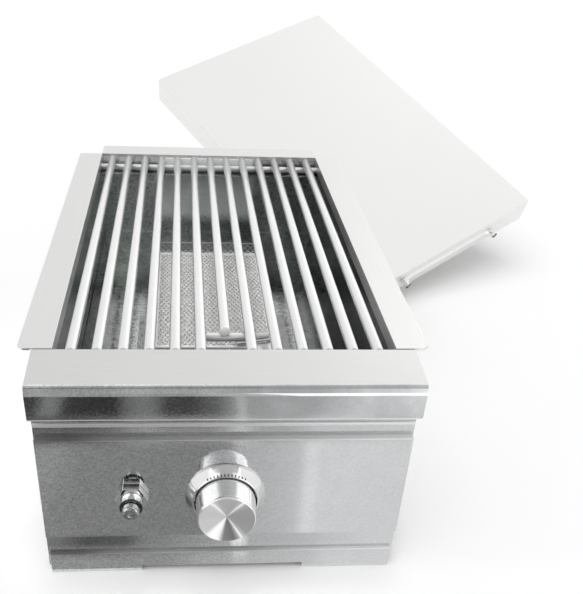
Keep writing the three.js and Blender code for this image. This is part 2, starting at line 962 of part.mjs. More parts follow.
function buildBonnet() {
  const cup = turnedRing(
    [
      [stemBoreRadius, bonnetFront],
      [stemBoreRadius, bonnetFront - bonnetWall],
      [bonnetRadius - bonnetWall, bonnetFront - bonnetWall],
      [bonnetRadius - bonnetWall, bonnetBack],
      [bonnetRadius, bonnetBack],
      [bonnetRadius, bonnetFront],
    ],
    28,
  );
  const ears = [-1, 1].map((side) =>
    join(
      bar(
        [side * bonnetEarReach, 0, bonnetFront - bonnetEarThickness],
        [side * bonnetEarReach, 0, bonnetFront],
        bonnetEarRadius,
        20,
      ),
      block(
        Math.min(side * (bonnetRadius - bonnetWall / 2), side * bonnetEarReach),
        Math.max(side * (bonnetRadius - bonnetWall / 2), side * bonnetEarReach),
        -bonnetEarRadius,
        bonnetEarRadius,
        bonnetFront - bonnetEarThickness,
        bonnetFront,
      ),
    ),
  );
  const bores = [-1, 1].map((side) =>
    bar(
      [side * bonnetEarReach, 0, bonnetFront - bonnetEarThickness - overrun],
      [side * bonnetEarReach, 0, bonnetFront + overrun],
      screwShankRadius + fit,
      16,
    ),
  );
  return cut(join(cup, ...ears), ...bores);
}
addPiece(control, "valve_bonnet", buildBonnet(), zinc);

// Return spring between the valve and the collar
const springBottom = valveFront + fit + springWire;
const springTop = collarBack - fit - springWire;
class Coil extends THREE.Curve {
  getPoint(t, target = new THREE.Vector3()) {
    const angle = t * springTurns * 2 * Math.PI;
    const rise = springBottom + t * (springTop - springBottom);
    return target.set(springCoilRadius * Math.cos(angle), springCoilRadius * Math.sin(angle), rise);
  }
}
addPiece(control, "return_spring", swept(new Coil(), springWire, 6, springTurns * 14), chrome);

for (const side of [-1, 1]) {
  const x = side * bonnetEarReach;
  const head = along(panelFaceY) + fit;
  addPiece(
    control,
    side < 0 ? "valve_screw_left" : "valve_screw_right",
    join(
      bar([x, 0, bonnetFront - 2 * bonnetEarThickness], [x, 0, head + weldDepth], screwShankRadius, 12),
      bar([x, 0, head], [x, 0, head + screwHeadHeight], screwHeadRadius, 16),
    ),
    zinc,
  );
}

const valveInletY = -valveTall / 2;
const valveInletZ = valveFront - valveLength / 2;
function buildValve() {
  const body = block(-valveWidth / 2, valveWidth / 2, valveInletY, valveTall / 2, valveBack, valveFront);
  const tail = bar([0, 0, stemBack - knobPush - fit], [0, 0, valveFront + overrun], stemBoreRadius, 24);
  const shoulders = [-1, 1].map((side) =>
    extrudeUp(
      [
        [side * valveWidth / 2 - side * overrun, valveTall / 2 + overrun],
        [side * (valveWidth / 2 + overrun), valveTall / 2 + overrun],
        [side * (valveWidth / 2 + overrun), valveTall / 2 - overrun],
      ],
      valveBack - overrun,
      valveFront + overrun,
    ),
  );
  return cut(body, tail, ...shoulders);
}
addPiece(control, "gas_valve", buildValve(), zinc);

const spudFront = valveBack - fit;
const spudHexBack = spudFront - spudHexLength;
addPiece(
  control,
  "orifice_spud",
  join(
    bar([0, 0, spudHexBack], [0, 0, spudFront], spudHexRadius, 6),
    turned(
      [
        [0, spudHexBack - spudNoseLength],
        [spudNoseRadius / 2, spudHexBack - spudNoseLength],
        [spudNoseRadius, spudHexBack - spudNoseLength / 2],
        [spudNoseRadius, spudHexBack + weldDepth],
        [0, spudHexBack + weldDepth],
      ],
      20,
    ),
  ),
  brass,
);

// Venturi tube with a capped bell and two air windows
const bellFront = valveBack - bellGapToValve;
const bellBack = bellFront - bellLength;
const venturiBack = along(venturiEndY + sheet + fit);
const windowHalf = bellRadius * Math.sin(windowAngleShare * Math.PI);
function airWindows(reach, front, back) {
  return [-1, 1].map((side) =>
    block(
      Math.min(0, side * (reach + overrun)) + Math.max(0, side * tubeWall * 2),
      Math.max(0, side * (reach + overrun)) + Math.min(0, side * tubeWall * 2),
      -windowHalf,
      windowHalf,
      back,
      front,
    ),
  );
}
addPiece(
  control,
  "venturi_tube",
  cut(
    turnedRing(
      [
        [bellCapHole, bellFront],
        [bellCapHole, bellFront - tubeWall],
        [bellRadius - tubeWall, bellFront - tubeWall],
        [bellRadius - tubeWall, bellBack],
        [venturiRadius - tubeWall, bellBack - bellTaper],
        [venturiRadius - tubeWall, venturiBack],
        [venturiRadius, venturiBack],
        [venturiRadius, bellBack - bellTaper],
        [bellRadius, bellBack],
        [bellRadius, bellFront],
      ],
      24,
    ),
    ...airWindows(bellRadius, bellFront - windowInset, bellBack + windowInset),
  ),
  zinc,
);
const shutterFront = bellFront - (bellLength - shutterLength) / 2;
addPiece(
  control,
  "air_shutter",
  cut(
    turnedRing(
      [
        [bellRadius + fit, shutterFront - shutterLength],
        [shutterRadius, shutterFront - shutterLength],
        [shutterRadius, shutterFront],
        [bellRadius + fit, shutterFront],
      ],
      24,
    ),
    ...airWindows(shutterRadius, shutterFront - windowInset / 2, shutterFront - shutterLength + windowInset / 2),
  ),
  zinc,
);

// Gas pipe from the valve inlet, down and back to the rear panel
const inletWorldY = plateFaceY - valveInletZ;
const inletWorldZ = controlHeight + valveInletY;
const nutBottom = inletWorldZ - fit - pipeNutLength;
addPiece(
  burner,
  "valve_inlet_nut",
  cut(
    bar([0, inletWorldY, nutBottom], [0, inletWorldY, inletWorldZ - fit], pipeNutRadius, 6),
    bar([0, inletWorldY, nutBottom - overrun], [0, inletWorldY, inletWorldZ - 3 * fit], pipeRadius + fit, 24),
  ),
  brass,
);
const pipeRun = openingBackY - inletWorldY;
const pipeShares = [
  [0, 0.015, 0.42],
  [0, 0.045, 0.12],
  [0.1, 0.12, 0],
  [0.45, 0.32, 0],
  [0.85, 0.58, 0],
  [1, 0.82, 0],
];
const pipeDrop = nutBottom - pipeHeight;
const pipeTail = openingBackY - fittingHexLength - 2 * fit;
addPiece(
  burner,
  "gas_pipe",
  swept(
    smooth([
      [0, inletWorldY, inletWorldZ - 6 * fit],
      [0, inletWorldY, nutBottom],
      ...pipeShares.map(([x, y, z]) => [
        x * pipeExit,
        inletWorldY + y * pipeRun,
        pipeHeight + z * pipeDrop,
      ]),
      [pipeExit, pipeTail, pipeHeight],
    ]),
    pipeRadius,
    10,
    48,
  ),
  brass,
);

// Inlet fitting through the rear panel, and its locknut
const fittingHole = bar(
  [pipeExit, openingBackY - overrun * 4, pipeHeight],
  [pipeExit, openingBackY + fittingThreadLength + overrun * 2, pipeHeight],
  pipeRadius - tubeWall,
  20,
);
addPiece(
  burner,
  "inlet_fitting",
  cut(
    join(
      bar(
        [pipeExit, openingBackY - fit - fittingHexLength, pipeHeight],
        [pipeExit, openingBackY - fit, pipeHeight],
        fittingHexRadius,
        6,
      ),
      bar(
        [pipeExit, openingBackY - fit - weldDepth, pipeHeight],
        [pipeExit, openingBackY + fittingThreadLength, pipeHeight],
        fittingThreadRadius,
        28,
      ),
    ),
    fittingHole,
  ),
  brass,
);
addPiece(
  burner,
  "inlet_locknut",
  cut(
    bar(
      [pipeExit, openingBackY + sheet + fit, pipeHeight],
      [pipeExit, openingBackY + sheet + fit + fittingHexLength / 2, pipeHeight],
      fittingHexRadius,
      6,
    ),
    bar(
      [pipeExit, openingBackY, pipeHeight],
      [pipeExit, openingBackY + overrun * 4, pipeHeight],
      fittingThreadRadius + fit,
      28,
    ),
  ),
  brass,
);

// Push igniter: the module, the flanged collar through the panel, the nut, the ring and the button
const igniter = controlGroup(igniterOffset, igniterHeight);
const buttonBack = igniterButtonReach - igniterButtonLength;
const buttonSeat = buttonBack - igniterTravel - 2 * fit;
const moduleFront = along(panelFaceY + sheet) - fit;
const moduleBack = moduleFront - igniterModuleLength;
const flangeBack = moduleFront - igniterFlangeThickness;
addPiece(
  igniter,
  "igniter_body",
  turned(
    [
      [0, moduleBack - terminalLength],
      [terminalRadius, moduleBack - terminalLength],
      [terminalRadius, moduleBack],
      [igniterModuleRadius, moduleBack],
      [igniterModuleRadius, flangeBack - fit],
      [0, flangeBack - fit],
    ],
    24,
  ),
  black,
);
addPiece(
  igniter,
  "igniter_collar",
  turned(
    [
      [0, flangeBack],
      [igniterFlangeRadius, flangeBack],
      [igniterFlangeRadius, moduleFront],
      [igniterBarrelRadius, moduleFront],
      [igniterBarrelRadius, igniterBarrelReach],
      [igniterButtonRadius + fit, igniterBarrelReach],
      [igniterButtonRadius + fit, buttonSeat],
      [0, buttonSeat],
    ],
    28,
  ),
  chrome,
);
addPiece(
  igniter,
  "igniter_nut",
  cut(
    bar([0, 0, fit], [0, 0, igniterNutDepth], igniterNutRadius, 6).rotate([0, 0, igniterNutTurn]),
    bar([0, 0, -overrun], [0, 0, igniterNutDepth + overrun], igniterBarrelRadius + fit, 36),
  ),
  chrome,
);
addPiece(
  igniter,
  "igniter_ring",
  turnedRing(
    [
      [igniterButtonRadius + fit, igniterBarrelReach + fit],
      [igniterBarrelRadius + igniterRingLip, igniterBarrelReach + fit],
      [igniterBarrelRadius + igniterRingLip, igniterBarrelReach + igniterRingDepth],
      [igniterButtonRadius + fit, igniterBarrelReach + igniterRingDepth],
    ],
    36,
  ),
  black,
);
addPiece(
  igniter,
  "igniter_button",
  turned(
    [
      [0, buttonBack],
      [igniterButtonRadius, buttonBack],
      ...buttonShares.map(([radial, drop]) => [
        radial * igniterButtonRadius,
        igniterButtonReach - drop * igniterButtonRadius,
      ]),
    ],
    32,
  ),
  chrome,
);

// Electrode over the front edge of the burner, carried by a bent holder with a guard rod
const radians = THREE.MathUtils.degToRad;
const electrode = new THREE.Group();
electrode.position.set(electrodeStart, burnerFrontY + electrodeSetback, 0);
electrode.rotation.z = radians(electrodeTurn);
burner.add(electrode);
const holderTop = holderRise + sheet;
const electrodeZ = holderTop + fit + insulatorRadius;
const guardY = -insulatorRadius - guardRodRadius - fit;
const guardZ = holderTop + guardRodRadius - fit;
const holderFootZ = linerFloorHeight + fit;
addPiece(
  electrode,
  "electrode_holder",
  join(
    extrudeAcross(
      bentSheet(
        [
          [-holderDepth - bracketFoot, holderFootZ],
          [-holderDepth, holderFootZ],
          [-holderDepth, holderRise],
          [insulatorRadius + sheet, holderRise],
        ],
        sheet,
      ),
      insulatorLength - holderWidth,
      insulatorLength,
    ),
    bar([0, guardY, guardZ], [insulatorLength - sheet, guardY, guardZ], guardRodRadius, 12),
  ),
  chrome,
);
addPiece(
  electrode,
  "electrode_insulator",
  cut(
    bar([0, 0, electrodeZ], [insulatorLength, 0, electrodeZ], insulatorRadius, 20),
    bar(
      [-overrun, 0, electrodeZ],
      [insulatorLength + overrun, 0, electrodeZ],
      electrodeWireRadius + fit,
      16,
    ),
  ),
  ceramic,
);
addPiece(
  electrode,
  "electrode_wire",
  bar(
    [-electrodeReach, 0, electrodeZ],
    [insulatorLength - 2 * fit, 0, electrodeZ],
    electrodeWireRadius,
    10,
  ),
  chrome,
);

// Ignition lead from the igniter's terminal, under the venturi and up through the liner floor
const leadStartY = plateFaceY - (moduleBack - terminalLength) + fit;
const leadEnd = new THREE.Vector3(insulatorLength + fit, 0, 0).applyEuler(electrode.rotation);
const [leadEndX, leadEndY] = leadEnd.add(electrode.position).toArray();
addPiece(
  burner,
  "ignition_lead",
  swept(
    smooth([
      [igniterOffset, leadStartY, igniterHeight],
      [igniterOffset, leadStartY + 14, igniterHeight - 1],
      [-66, leadStartY + 36, 78],
      [-36, leadStartY + 54, 66],
      [0, leadStartY + 62, 62],
      [34, leadStartY + 72, 64],
      [60, leadHoleY - 16, 78],
      [leadHoleX, leadHoleY - 3, 96],
      [leadHoleX, leadHoleY, linerFloorHeight],
      [leadHoleX, leadHoleY + 4, 122],
      [leadHoleX, leadHoleY + 14, 131.5],
      [leadHoleX - 2, leadEndY - 8, 135.5],
      [leadEndX + 5, leadEndY + 0.8, electrodeZ],
      [leadEndX, leadEndY, electrodeZ],
    ]),
    leadRadius,
    8,
    56,
  ),
  black,
);

// Lid, taken off and leant behind the burner
const lid = new THREE.Group();
lid.rotation.set(radians(lidTilt.pitch), radians(lidTilt.bank), radians(lidTilt.turn), "ZYX");
const lowestCorner = new THREE.Vector3(-lidWidth / 2, -lidLength / 2, -lidHeight).applyEuler(lid.rotation);
lid.position.set(lidCentre.across, frontY + lidCentre.behind, fit - lowestCorner.z);
burner.add(lid);

function roundedRectangle(width, length, radius) {
  const shape = new THREE.Shape();
  const [x, y] = [width / 2, length / 2];
  shape.moveTo(-x + radius, -y);
  shape.lineTo(x - radius, -y);
  shape.absarc(x - radius, -y + radius, radius, -Math.PI / 2, 0);
  shape.lineTo(x, y - radius);
  shape.absarc(x - radius, y - radius, radius, 0, Math.PI / 2);
  shape.lineTo(-x + radius, y);
  shape.absarc(-x + radius, y - radius, radius, Math.PI / 2, Math.PI);
  shape.lineTo(-x, -y + radius);
  shape.absarc(-x + radius, -y + radius, radius, Math.PI, Math.PI * 1.5);
  return shape;
}

function lidBlank(inset, z0, z1, bevel) {
  const shape = roundedRectangle(
    lidWidth - 2 * (inset + bevel),
    lidLength - 2 * (inset + bevel),
    lidCornerRadius - inset,
  );
  const geometry = new THREE.ExtrudeGeometry(shape, {
    depth: z1 - z0 - 2 * bevel,
    curveSegments: 4,
    bevelEnabled: bevel > 0,
    bevelThickness: bevel,
    bevelSize: bevel,
    bevelSegments: 3,
  });
  geometry.translate(0, 0, z0 + bevel);
  return solidFrom(geometry);
}

const handleEnds = [-1, 1].map((side) => side * (handleLength / 2 - handleRadius));
const skirtFaceY = -lidLength / 2;
const handleHoles = handleEnds.map((x) =>
  bar(
    [x, skirtFaceY - overrun, -handleDrop],
    [x, skirtFaceY + overrun, -handleDrop],
    screwShankRadius + fit,
    16,
  ),
);
addPiece(
  lid,
  "lid_shell",
  cut(
    lidBlank(0, -lidHeight - lidEdgeBevel * 2, 0, lidEdgeBevel),
    block(-lidWidth, lidWidth, -lidLength, lidLength, -lidHeight - overrun * 2, -lidHeight),
    lidBlank(sheet, -lidHeight - overrun, -sheet, 0),
    ...handleHoles,
  ),
  pale,
);

// Handle: one round bar bent in at both ends
function buildHandle() {
  const half = handleEnds[1];
  const outY = skirtFaceY - handleStandoff;
  const inY = skirtFaceY - fit;
  const z = -handleDrop;
  const path = new THREE.CurvePath();
  const point = (x, y) => new THREE.Vector3(x, y, z);
  path.add(new THREE.LineCurve3(point(-half, inY), point(-half, outY + handleBend)));
  path.add(
    new THREE.QuadraticBezierCurve3(
      point(-half, outY + handleBend),
      point(-half, outY),
      point(-half + handleBend, outY),
    ),
  );
  path.add(new THREE.LineCurve3(point(-half + handleBend, outY), point(half - handleBend, outY)));
  path.add(
    new THREE.QuadraticBezierCurve3(
      point(half - handleBend, outY),
      point(half, outY),
      point(half, outY + handleBend),
    ),
  );
  path.add(new THREE.LineCurve3(point(half, outY + handleBend), point(half, inY)));
  const bores = handleEnds.map((x) =>
    bar([x, inY - handleScrewDepth - fit, z], [x, inY + overrun, z], screwShankRadius + fit, 16),
  );
  return cut(swept(path, handleRadius, 10, 40), ...bores);
}
addPiece(lid, "lid_handle", buildHandle(), chrome);

handleEnds.forEach((x, i) => {
  const inside = skirtFaceY + sheet + fit;
  addPiece(
    lid,
    i ? "handle_screw_right" : "handle_screw_left",
    join(
      bar(
        [x, skirtFaceY - handleScrewDepth, -handleDrop],
        [x, inside + weldDepth, -handleDrop],
        screwShankRadius,
        12,
      ),
      bar([x, inside, -handleDrop], [x, inside + screwHeadHeight, -handleDrop], screwHeadRadius, 16),
    ),
    chrome,
  );
});

export default burner;
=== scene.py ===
"""The looks of a built-in side burner with its lid taken off. Metres, +Z up, the controls face -Y."""

import math

import bpy
from mathutils import Euler, Matrix, Vector


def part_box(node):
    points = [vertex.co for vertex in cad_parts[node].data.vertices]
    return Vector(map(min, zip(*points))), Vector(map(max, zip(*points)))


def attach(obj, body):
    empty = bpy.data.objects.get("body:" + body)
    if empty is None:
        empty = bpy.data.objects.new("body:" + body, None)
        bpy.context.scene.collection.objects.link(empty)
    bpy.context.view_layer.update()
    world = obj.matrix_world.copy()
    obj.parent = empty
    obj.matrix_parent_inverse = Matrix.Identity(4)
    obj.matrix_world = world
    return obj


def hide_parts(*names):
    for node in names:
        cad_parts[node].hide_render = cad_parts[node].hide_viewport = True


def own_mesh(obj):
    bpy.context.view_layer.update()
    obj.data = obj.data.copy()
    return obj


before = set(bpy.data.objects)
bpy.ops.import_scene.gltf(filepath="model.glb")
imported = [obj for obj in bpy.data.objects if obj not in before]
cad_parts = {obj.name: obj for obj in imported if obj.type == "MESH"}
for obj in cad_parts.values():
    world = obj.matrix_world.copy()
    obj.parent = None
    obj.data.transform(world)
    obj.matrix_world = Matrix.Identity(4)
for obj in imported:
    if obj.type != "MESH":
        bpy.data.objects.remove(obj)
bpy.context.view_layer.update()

MM = 0.001

# The camera that the photograph was solved for
CAMERA_PLACE = (-0.03598, -0.79251, 0.56233)
CAMERA_YAW = 0.0992
CAMERA_PITCH = -0.5883
CAMERA_ROLL = 0.0526
FOCAL_PIXELS = 803.06
CENTRE_PIXEL = (249.92, 385.04)
FRAME_PIXELS = (583, 594)
SENSOR_MM = 36

# Light and backdrop
FLOOR_SIZE = 12
FLOOR_COLOUR = (0.95, 0.95, 0.948, 1)
WORLD_LIGHT = 0.62
SUN_STRENGTH = 1.45
SUN_FROM = (-0.25, -0.35, 1)
SUN_WIDTH = math.radians(60)
BURNER_LAMP_STRENGTH = 90
BURNER_LAMP_PLACE = (0, 0, 1.6)
BURNER_LAMP_SIZE = 0.25
BURNER_LAMP_CONE = math.radians(13)
BURNER_LAMP_EDGE = 0.7


def place_camera():
    """The camera of the photograph: its place, lean and lens, and where its axis meets the frame."""
    yaw, pitch, roll = CAMERA_YAW, CAMERA_PITCH, CAMERA_ROLL
    ahead = Vector((math.sin(yaw) * math.cos(pitch), math.cos(yaw) * math.cos(pitch), math.sin(pitch)))
    level_right = Vector((math.cos(yaw), -math.sin(yaw), 0))
    level_up = level_right.cross(ahead)
    right = math.cos(roll) * level_right + math.sin(roll) * level_up
    up = math.cos(roll) * level_up - math.sin(roll) * level_right
    turn = Matrix((right, up, -ahead)).transposed().to_4x4()
    data = bpy.data.cameras.new("camera")
    wide, high = FRAME_PIXELS
    longest = max(wide, high)
    data.sensor_width = SENSOR_MM
    data.lens = FOCAL_PIXELS * SENSOR_MM / longest
    data.shift_x = (wide / 2 - CENTRE_PIXEL[0]) / longest
    data.shift_y = (CENTRE_PIXEL[1] - high / 2) / longest
    camera = bpy.data.objects.new("camera", data)
    camera.matrix_world = Matrix.Translation(CAMERA_PLACE) @ turn
    bpy.context.collection.objects.link(camera)
    bpy.context.scene.camera = camera


class Value:
    """A shader socket, on which sums, products and comparisons add Math nodes."""

    def __init__(self, shade, socket):
        self.shade = shade
        self.socket = socket

    def maths(self, operation, *operands):
        sockets = dict(enumerate(operands))
        return self.shade.node("ShaderNodeMath", {"operation": operation}, sockets)

    def __add__(self, other):
        return self.maths("ADD", self, other)

    def __radd__(self, other):
        return self.maths("ADD", other, self)

    def __sub__(self, other):
        return self.maths("SUBTRACT", self, other)

    def __rsub__(self, other):
        return self.maths("SUBTRACT", other, self)

    def __mul__(self, other):
        return self.maths("MULTIPLY", self, other)

    def __rmul__(self, other):
        return self.maths("MULTIPLY", other, self)

    def __truediv__(self, other):
        return self.maths("DIVIDE", self, other)

    def __pow__(self, other):
        return self.maths("POWER", self, other)

    def __gt__(self, other):
        return self.maths("GREATER_THAN", self, other)

    def __lt__(self, other):
        return self.maths("LESS_THAN", self, other)

    def __abs__(self):
        return self.maths("ABSOLUTE", self)


class Shade:
    """A material that is built from nodes round one Principled shader."""

    def __init__(self, name, **constants):
        self.material = bpy.data.materials.new(name)
        self.material.use_nodes = True
        self.tree = self.material.node_tree
        self.shader = self.tree.nodes["Principled BSDF"]
        for socket, value in constants.items():
            self.shader.inputs[socket.replace("_", " ").title()].default_value = value

    def node(self, kind, settings=None, sockets=None, out=0, stops=None):
        """Adds a node: its settings and ramp stops first, then its sockets' values or links."""
        node = self.tree.nodes.new(kind)
        for name, value in (settings or {}).items():
            setattr(node, name, value)
        for place, (position, colour) in enumerate(stops or []):
            ramp = node.color_ramp.elements
            stop = ramp[place] if place < len(ramp) else ramp.new(position)
            stop.position = position
            stop.color = colour
        for name, value in (sockets or {}).items():
            if isinstance(value, Value):
                self.tree.links.new(value.socket, node.inputs[name])
            else:
                node.inputs[name].default_value = value
        return Value(self, node.outputs[out])

    def feed(self, socket, value):
        self.tree.links.new(value.socket, self.shader.inputs[socket])

    def place(self):
        """Where a point of the piece is, in metres."""
        return self.node("ShaderNodeTexCoord", out="Object")

    def along(self, x, y, z):
        """The piece's points, stretched: a pattern is drawn out along an axis with a small factor."""
        scaled = {"Vector": self.place(), "Scale": (x, y, z)}
        return self.node("ShaderNodeMapping", {"vector_type": "POINT"}, scaled)

    def noise(self, vector, scale, detail=2.0, roughness=0.5):
        sockets = {"Vector": vector, "Scale": scale, "Detail": detail, "Roughness": roughness}
        return self.node("ShaderNodeTexNoise", sockets=sockets)

    def ramp(self, factor, *stops):
        """A number that follows the factor through stops of (place, level)."""
        greys = [(place, (level, level, level, 1)) for place, level in stops]
        return self.node("ShaderNodeValToRGB", sockets={"Fac": factor}, stops=greys)

    def spread(self, value, low, high, *stops):
        """A level that follows a length through stops given in metres."""
        scaled = [((place - low) / (high - low), level) for place, level in stops]
        return self.ramp((value - low) * (1 / (high - low)), *scaled)

    def parts(self):
        """How far right, back and up a point of the piece is."""
        place = self.place()
        return [self.node("ShaderNodeSeparateXYZ", sockets={"Vector": place}, out=i) for i in range(3)]

    def blend(self, factor, first, second, blend_type="MIX"):
        sockets = {0: factor, 6: first, 7: second}
        settings = {"data_type": "RGBA", "blend_type": blend_type}
        return self.node("ShaderNodeMix", settings, sockets, out=2)

    def bump(self, height, strength, distance):
        sockets = {"Height": height, "Strength": strength, "Distance": distance}
        self.feed("Normal", self.node("ShaderNodeBump", sockets=sockets))


def banded(shade, across, along, reach, first, bands):
    """A level by the place across, in bands along: each takes over from start to end, and may lean."""
    level = shade.spread(across, -reach, reach, *first)
    for band, start, end, lean in bands:
        share = shade.spread(along, -1, 1, (start, 0.0), (end, 1.0))
        leaning = across - (along - start) * lean
        level = level * (1 - share) + shade.spread(leaning, -reach, reach, *band) * share
    return level


def grey(level, warmth=0.0):
    """A near-grey colour, a little warmer with a positive warmth."""
    return (level * (1 + warmth), level, level * (1 - warmth), 1)


def tone_colour(shade, tone):
    return shade.node("ShaderNodeCombineColor", sockets={"Red": tone, "Green": tone, "Blue": tone})


def tinted(shade, tone, colour):
    return shade.blend(1.0, tone_colour(shade, tone), colour, "MULTIPLY")


# A grain's cells a metre: few along the sheet's rolling, many across it
ALONG_X = (14, 1100, 1100)
ALONG_Y = (1100, 14, 1100)

# How fine the other patterns are, in cells a metre
SPECKS = 700
SMUDGES = 16
FINGERPRINTS = 30
SHEET_MOTTLE = 420
SHEET_SPECKS = 850
SHEET_PATCHES = 26
LINER_MOTTLE = 240
LINER_STAINS = 20
CAST_MOTTLE = 220
CLAY_PORES = 520
CLAY_MOTTLE = 60
CHROME_CLOUDS = 90


def sheet_steel(name, level, roughness, grain, speckle=0.05, smudge=0.06, streak=0.06, warmth=0.006):
    """Mill-finished sheet: fine grain lines, faint specks, and smudges in its gloss."""
    shade = Shade(name, metallic=1.0)
    lines = shade.noise(shade.along(*grain), 1, 3, 0.6)
    specks = shade.noise(shade.place(), SPECKS, 2, 0.7)
    clouds = shade.noise(shade.place(), SMUDGES, 4, 0.6)
    tone = 1 + (specks - 0.5) * (2 * speckle) + (clouds - 0.5) * (2 * smudge) + (lines - 0.5) * (2 * streak)
    shade.feed("Base Color", tinted(shade, tone, grey(level, warmth)))
    shade.feed("Roughness", roughness + (clouds - 0.5) * 0.10 + (lines - 0.5) * 0.08)
    shade.bump(lines + specks * 0.3, 0.10, 0.00004)
    return shade.material


def mottled_steel(name, level, roughness, speckle, patch, patch_scale=SHEET_PATCHES):
    """Thin polished sheet that takes up heat and grease: mottling, and a speckle that fades to the right."""
    shade = Shade(name, metallic=1.0)
    share = shade.spread(shade.parts()[0], -0.2, 0.2, (-0.16, 1.7), (-0.02, 1.3), (0.05, 0.45), (0.16, 0.35))
    coarse = shade.ramp(shade.noise(shade.place(), SHEET_MOTTLE, 3, 0.75), (0.32, 0.0), (0.68, 1.0))
    fine = shade.noise(shade.place(), SHEET_SPECKS, 1, 0.5)
    patches = shade.ramp(shade.noise(shade.place(), patch_scale, 3, 0.6), (0.35, 0.0), (0.65, 1.0))
    specks = ((coarse - 0.5) * 2 + (fine - 0.5) * 3) * share * speckle
    shade.feed("Base Color", tinted(shade, 1 + specks + (patches - 0.5) * (2 * patch), grey(level, -0.01)))
    shade.feed("Roughness", roughness + (coarse - 0.5) * share * 0.08 + (patches - 0.5) * 0.04)
    shade.bump(coarse * share, 0.12, 0.00006)
    return shade.material


# Painted reflections and shade of the tray: how bright it is by place to the right, from its front to the
# wall behind the burner
LINER_FRONT = [
    (-0.15, 0.24),
    (-0.138, 0.42),
    (-0.128, 0.65),
    (-0.115, 0.72),
    (-0.10, 0.9),
    (-0.086, 1.1),
    (0.082, 0.98),
    (0.09, 0.80),
    (0.105, 0.43),
    (0.12, 0.30),
    (0.134, 0.18),
    (0.15, 0.30),
]
LINER_MIDDLE = [
    (-0.145, 0.9),
    (-0.13, 1.0),
    (-0.115, 1.8),
    (-0.10, 1.2),
    (-0.086, 0.85),
    (0.07, 0.4),
    (0.088, 0.6),
    (0.10, 1.0),
    (0.12, 0.85),
    (0.135, 0.6),
    (0.15, 0.8),
]
LINER_BEHIND = [
    (-0.145, 1.0),
    (-0.115, 1.45),
    (-0.09, 0.9),
    (-0.07, 1.1),
    (-0.02, 0.9),
    (0.06, 0.6),
    (0.085, 0.6),
    (0.10, 1.0),
    (0.135, 0.8),
    (0.15, 0.7),
]
LINER_WALL = [
    (-0.145, 1.5),
    (-0.131, 1.6),
    (-0.107, 2.0),
    (-0.082, 1.95),
    (0.06, 1.2),
    (0.089, 1.35),
    (0.115, 0.9),
    (0.139, 1.3),
    (0.15, 0.7),
]
REAR_WALL = 0.268
LINER_BANDS = [
    (LINER_MIDDLE, 0.07, 0.10, 0),
    (LINER_BEHIND, 0.158, 0.17, 0),
    (LINER_WALL, REAR_WALL, 0.27, 0),
]
BURNER_AXIS = -0.004


def liner_steel(name, level):
    """The tray round the burner: speckled, with painted reflections and shade in bands, and on the wall
    behind the flame a painted reflection of the burner's mesh over a painted shade.
    """
    shade = Shade(name)
    right, back, up = shade.parts()
    coarse = shade.ramp(shade.noise(shade.place(), LINER_MOTTLE, 3, 0.75), (0.38, 0.0), (0.62, 1.0))
    fine = shade.noise(shade.place(), SPECKS, 1, 0.5)
    stains = shade.ramp(shade.noise(shade.place(), LINER_STAINS, 4, 0.65), (0.35, 0.0), (0.65, 1.0))
    wall = back > REAR_WALL
    # Behind the burner the wall gets a painted reflection of the burner's mesh, pale and less metallic, with
    # a painted shade under it
    reflection_span = shade.spread(abs(right - BURNER_AXIS), 0.0, 0.2, (0.060, 1.0), (0.067, 0.0))
    painted_reflection = reflection_span * shade.spread(up, 0.1, 0.22, (0.124, 0.0), (0.138, 1.0)) * wall
    painted_shade = reflection_span * shade.spread(up, 0.1, 0.22, (0.120, 0.3), (0.130, 0.0)) * wall
    speckles = 0.7 + coarse * 0.6 + (fine - 0.5) * 0.5 + (stains - 0.5) * 0.3
    # The metal's speckle, times its painted bands of reflection and shade
    metal = speckles * banded(shade, right, back, 0.2, LINER_FRONT, LINER_BANDS) * (1 - painted_shade) * level
    # The pale tone of the painted reflection, lighter to the left
    reflection_tone = 0.92 - right * 1.2 + (coarse - 0.5) * 0.10
    tone = metal * (1 - painted_reflection) + reflection_tone * painted_reflection
    shade.feed("Base Color", tinted(shade, tone, (0.96, 1.01, 0.98, 1)))
    shade.feed("Metallic", 1 - painted_reflection)
    shade.feed("Roughness", 0.16 + (coarse - 0.5) * 0.10 + wall * 0.16)
    shade.bump(coarse, 0.14, 0.00008)
    return shade.material


def polished_steel(name, level, roughness, grain=ALONG_Y, metallic=1.0, stops=None):
    """Polished steel with a faint grain and fingerprints, and with stops a painted shade that changes along
    X.
    """
    shade = Shade(name, metallic=metallic)
    lines = shade.noise(shade.along(*grain), 1, 2, 0.5)
    clouds = shade.noise(shade.place(), FINGERPRINTS, 4, 0.6)
    tone = 1 + (clouds - 0.5) * 0.08 + (lines - 0.5) * 0.04
    if stops:
        tone = tone * shade.spread(shade.parts()[0], -0.2, 0.2, *stops)
    shade.feed("Base Color", tinted(shade, tone, grey(level)))
    shade.feed("Roughness", roughness + (clouds - 0.5) * 0.08)
    shade.bump(lines, 0.05, 0.00003)
    return shade.material


def plated(name, colour, roughness):
    """Plated or cast metal with a soft mottle."""
    shade = Shade(name, metallic=1.0)
    mottle = shade.noise(shade.place(), CAST_MOTTLE, 3, 0.6)
    shade.feed("Base Color", tinted(shade, 1 + (mottle - 0.5) * 0.18, colour))
    shade.feed("Roughness", roughness + (mottle - 0.5) * 0.2)
    shade.bump(mottle, 0.2, 0.0001)
    return shade.material


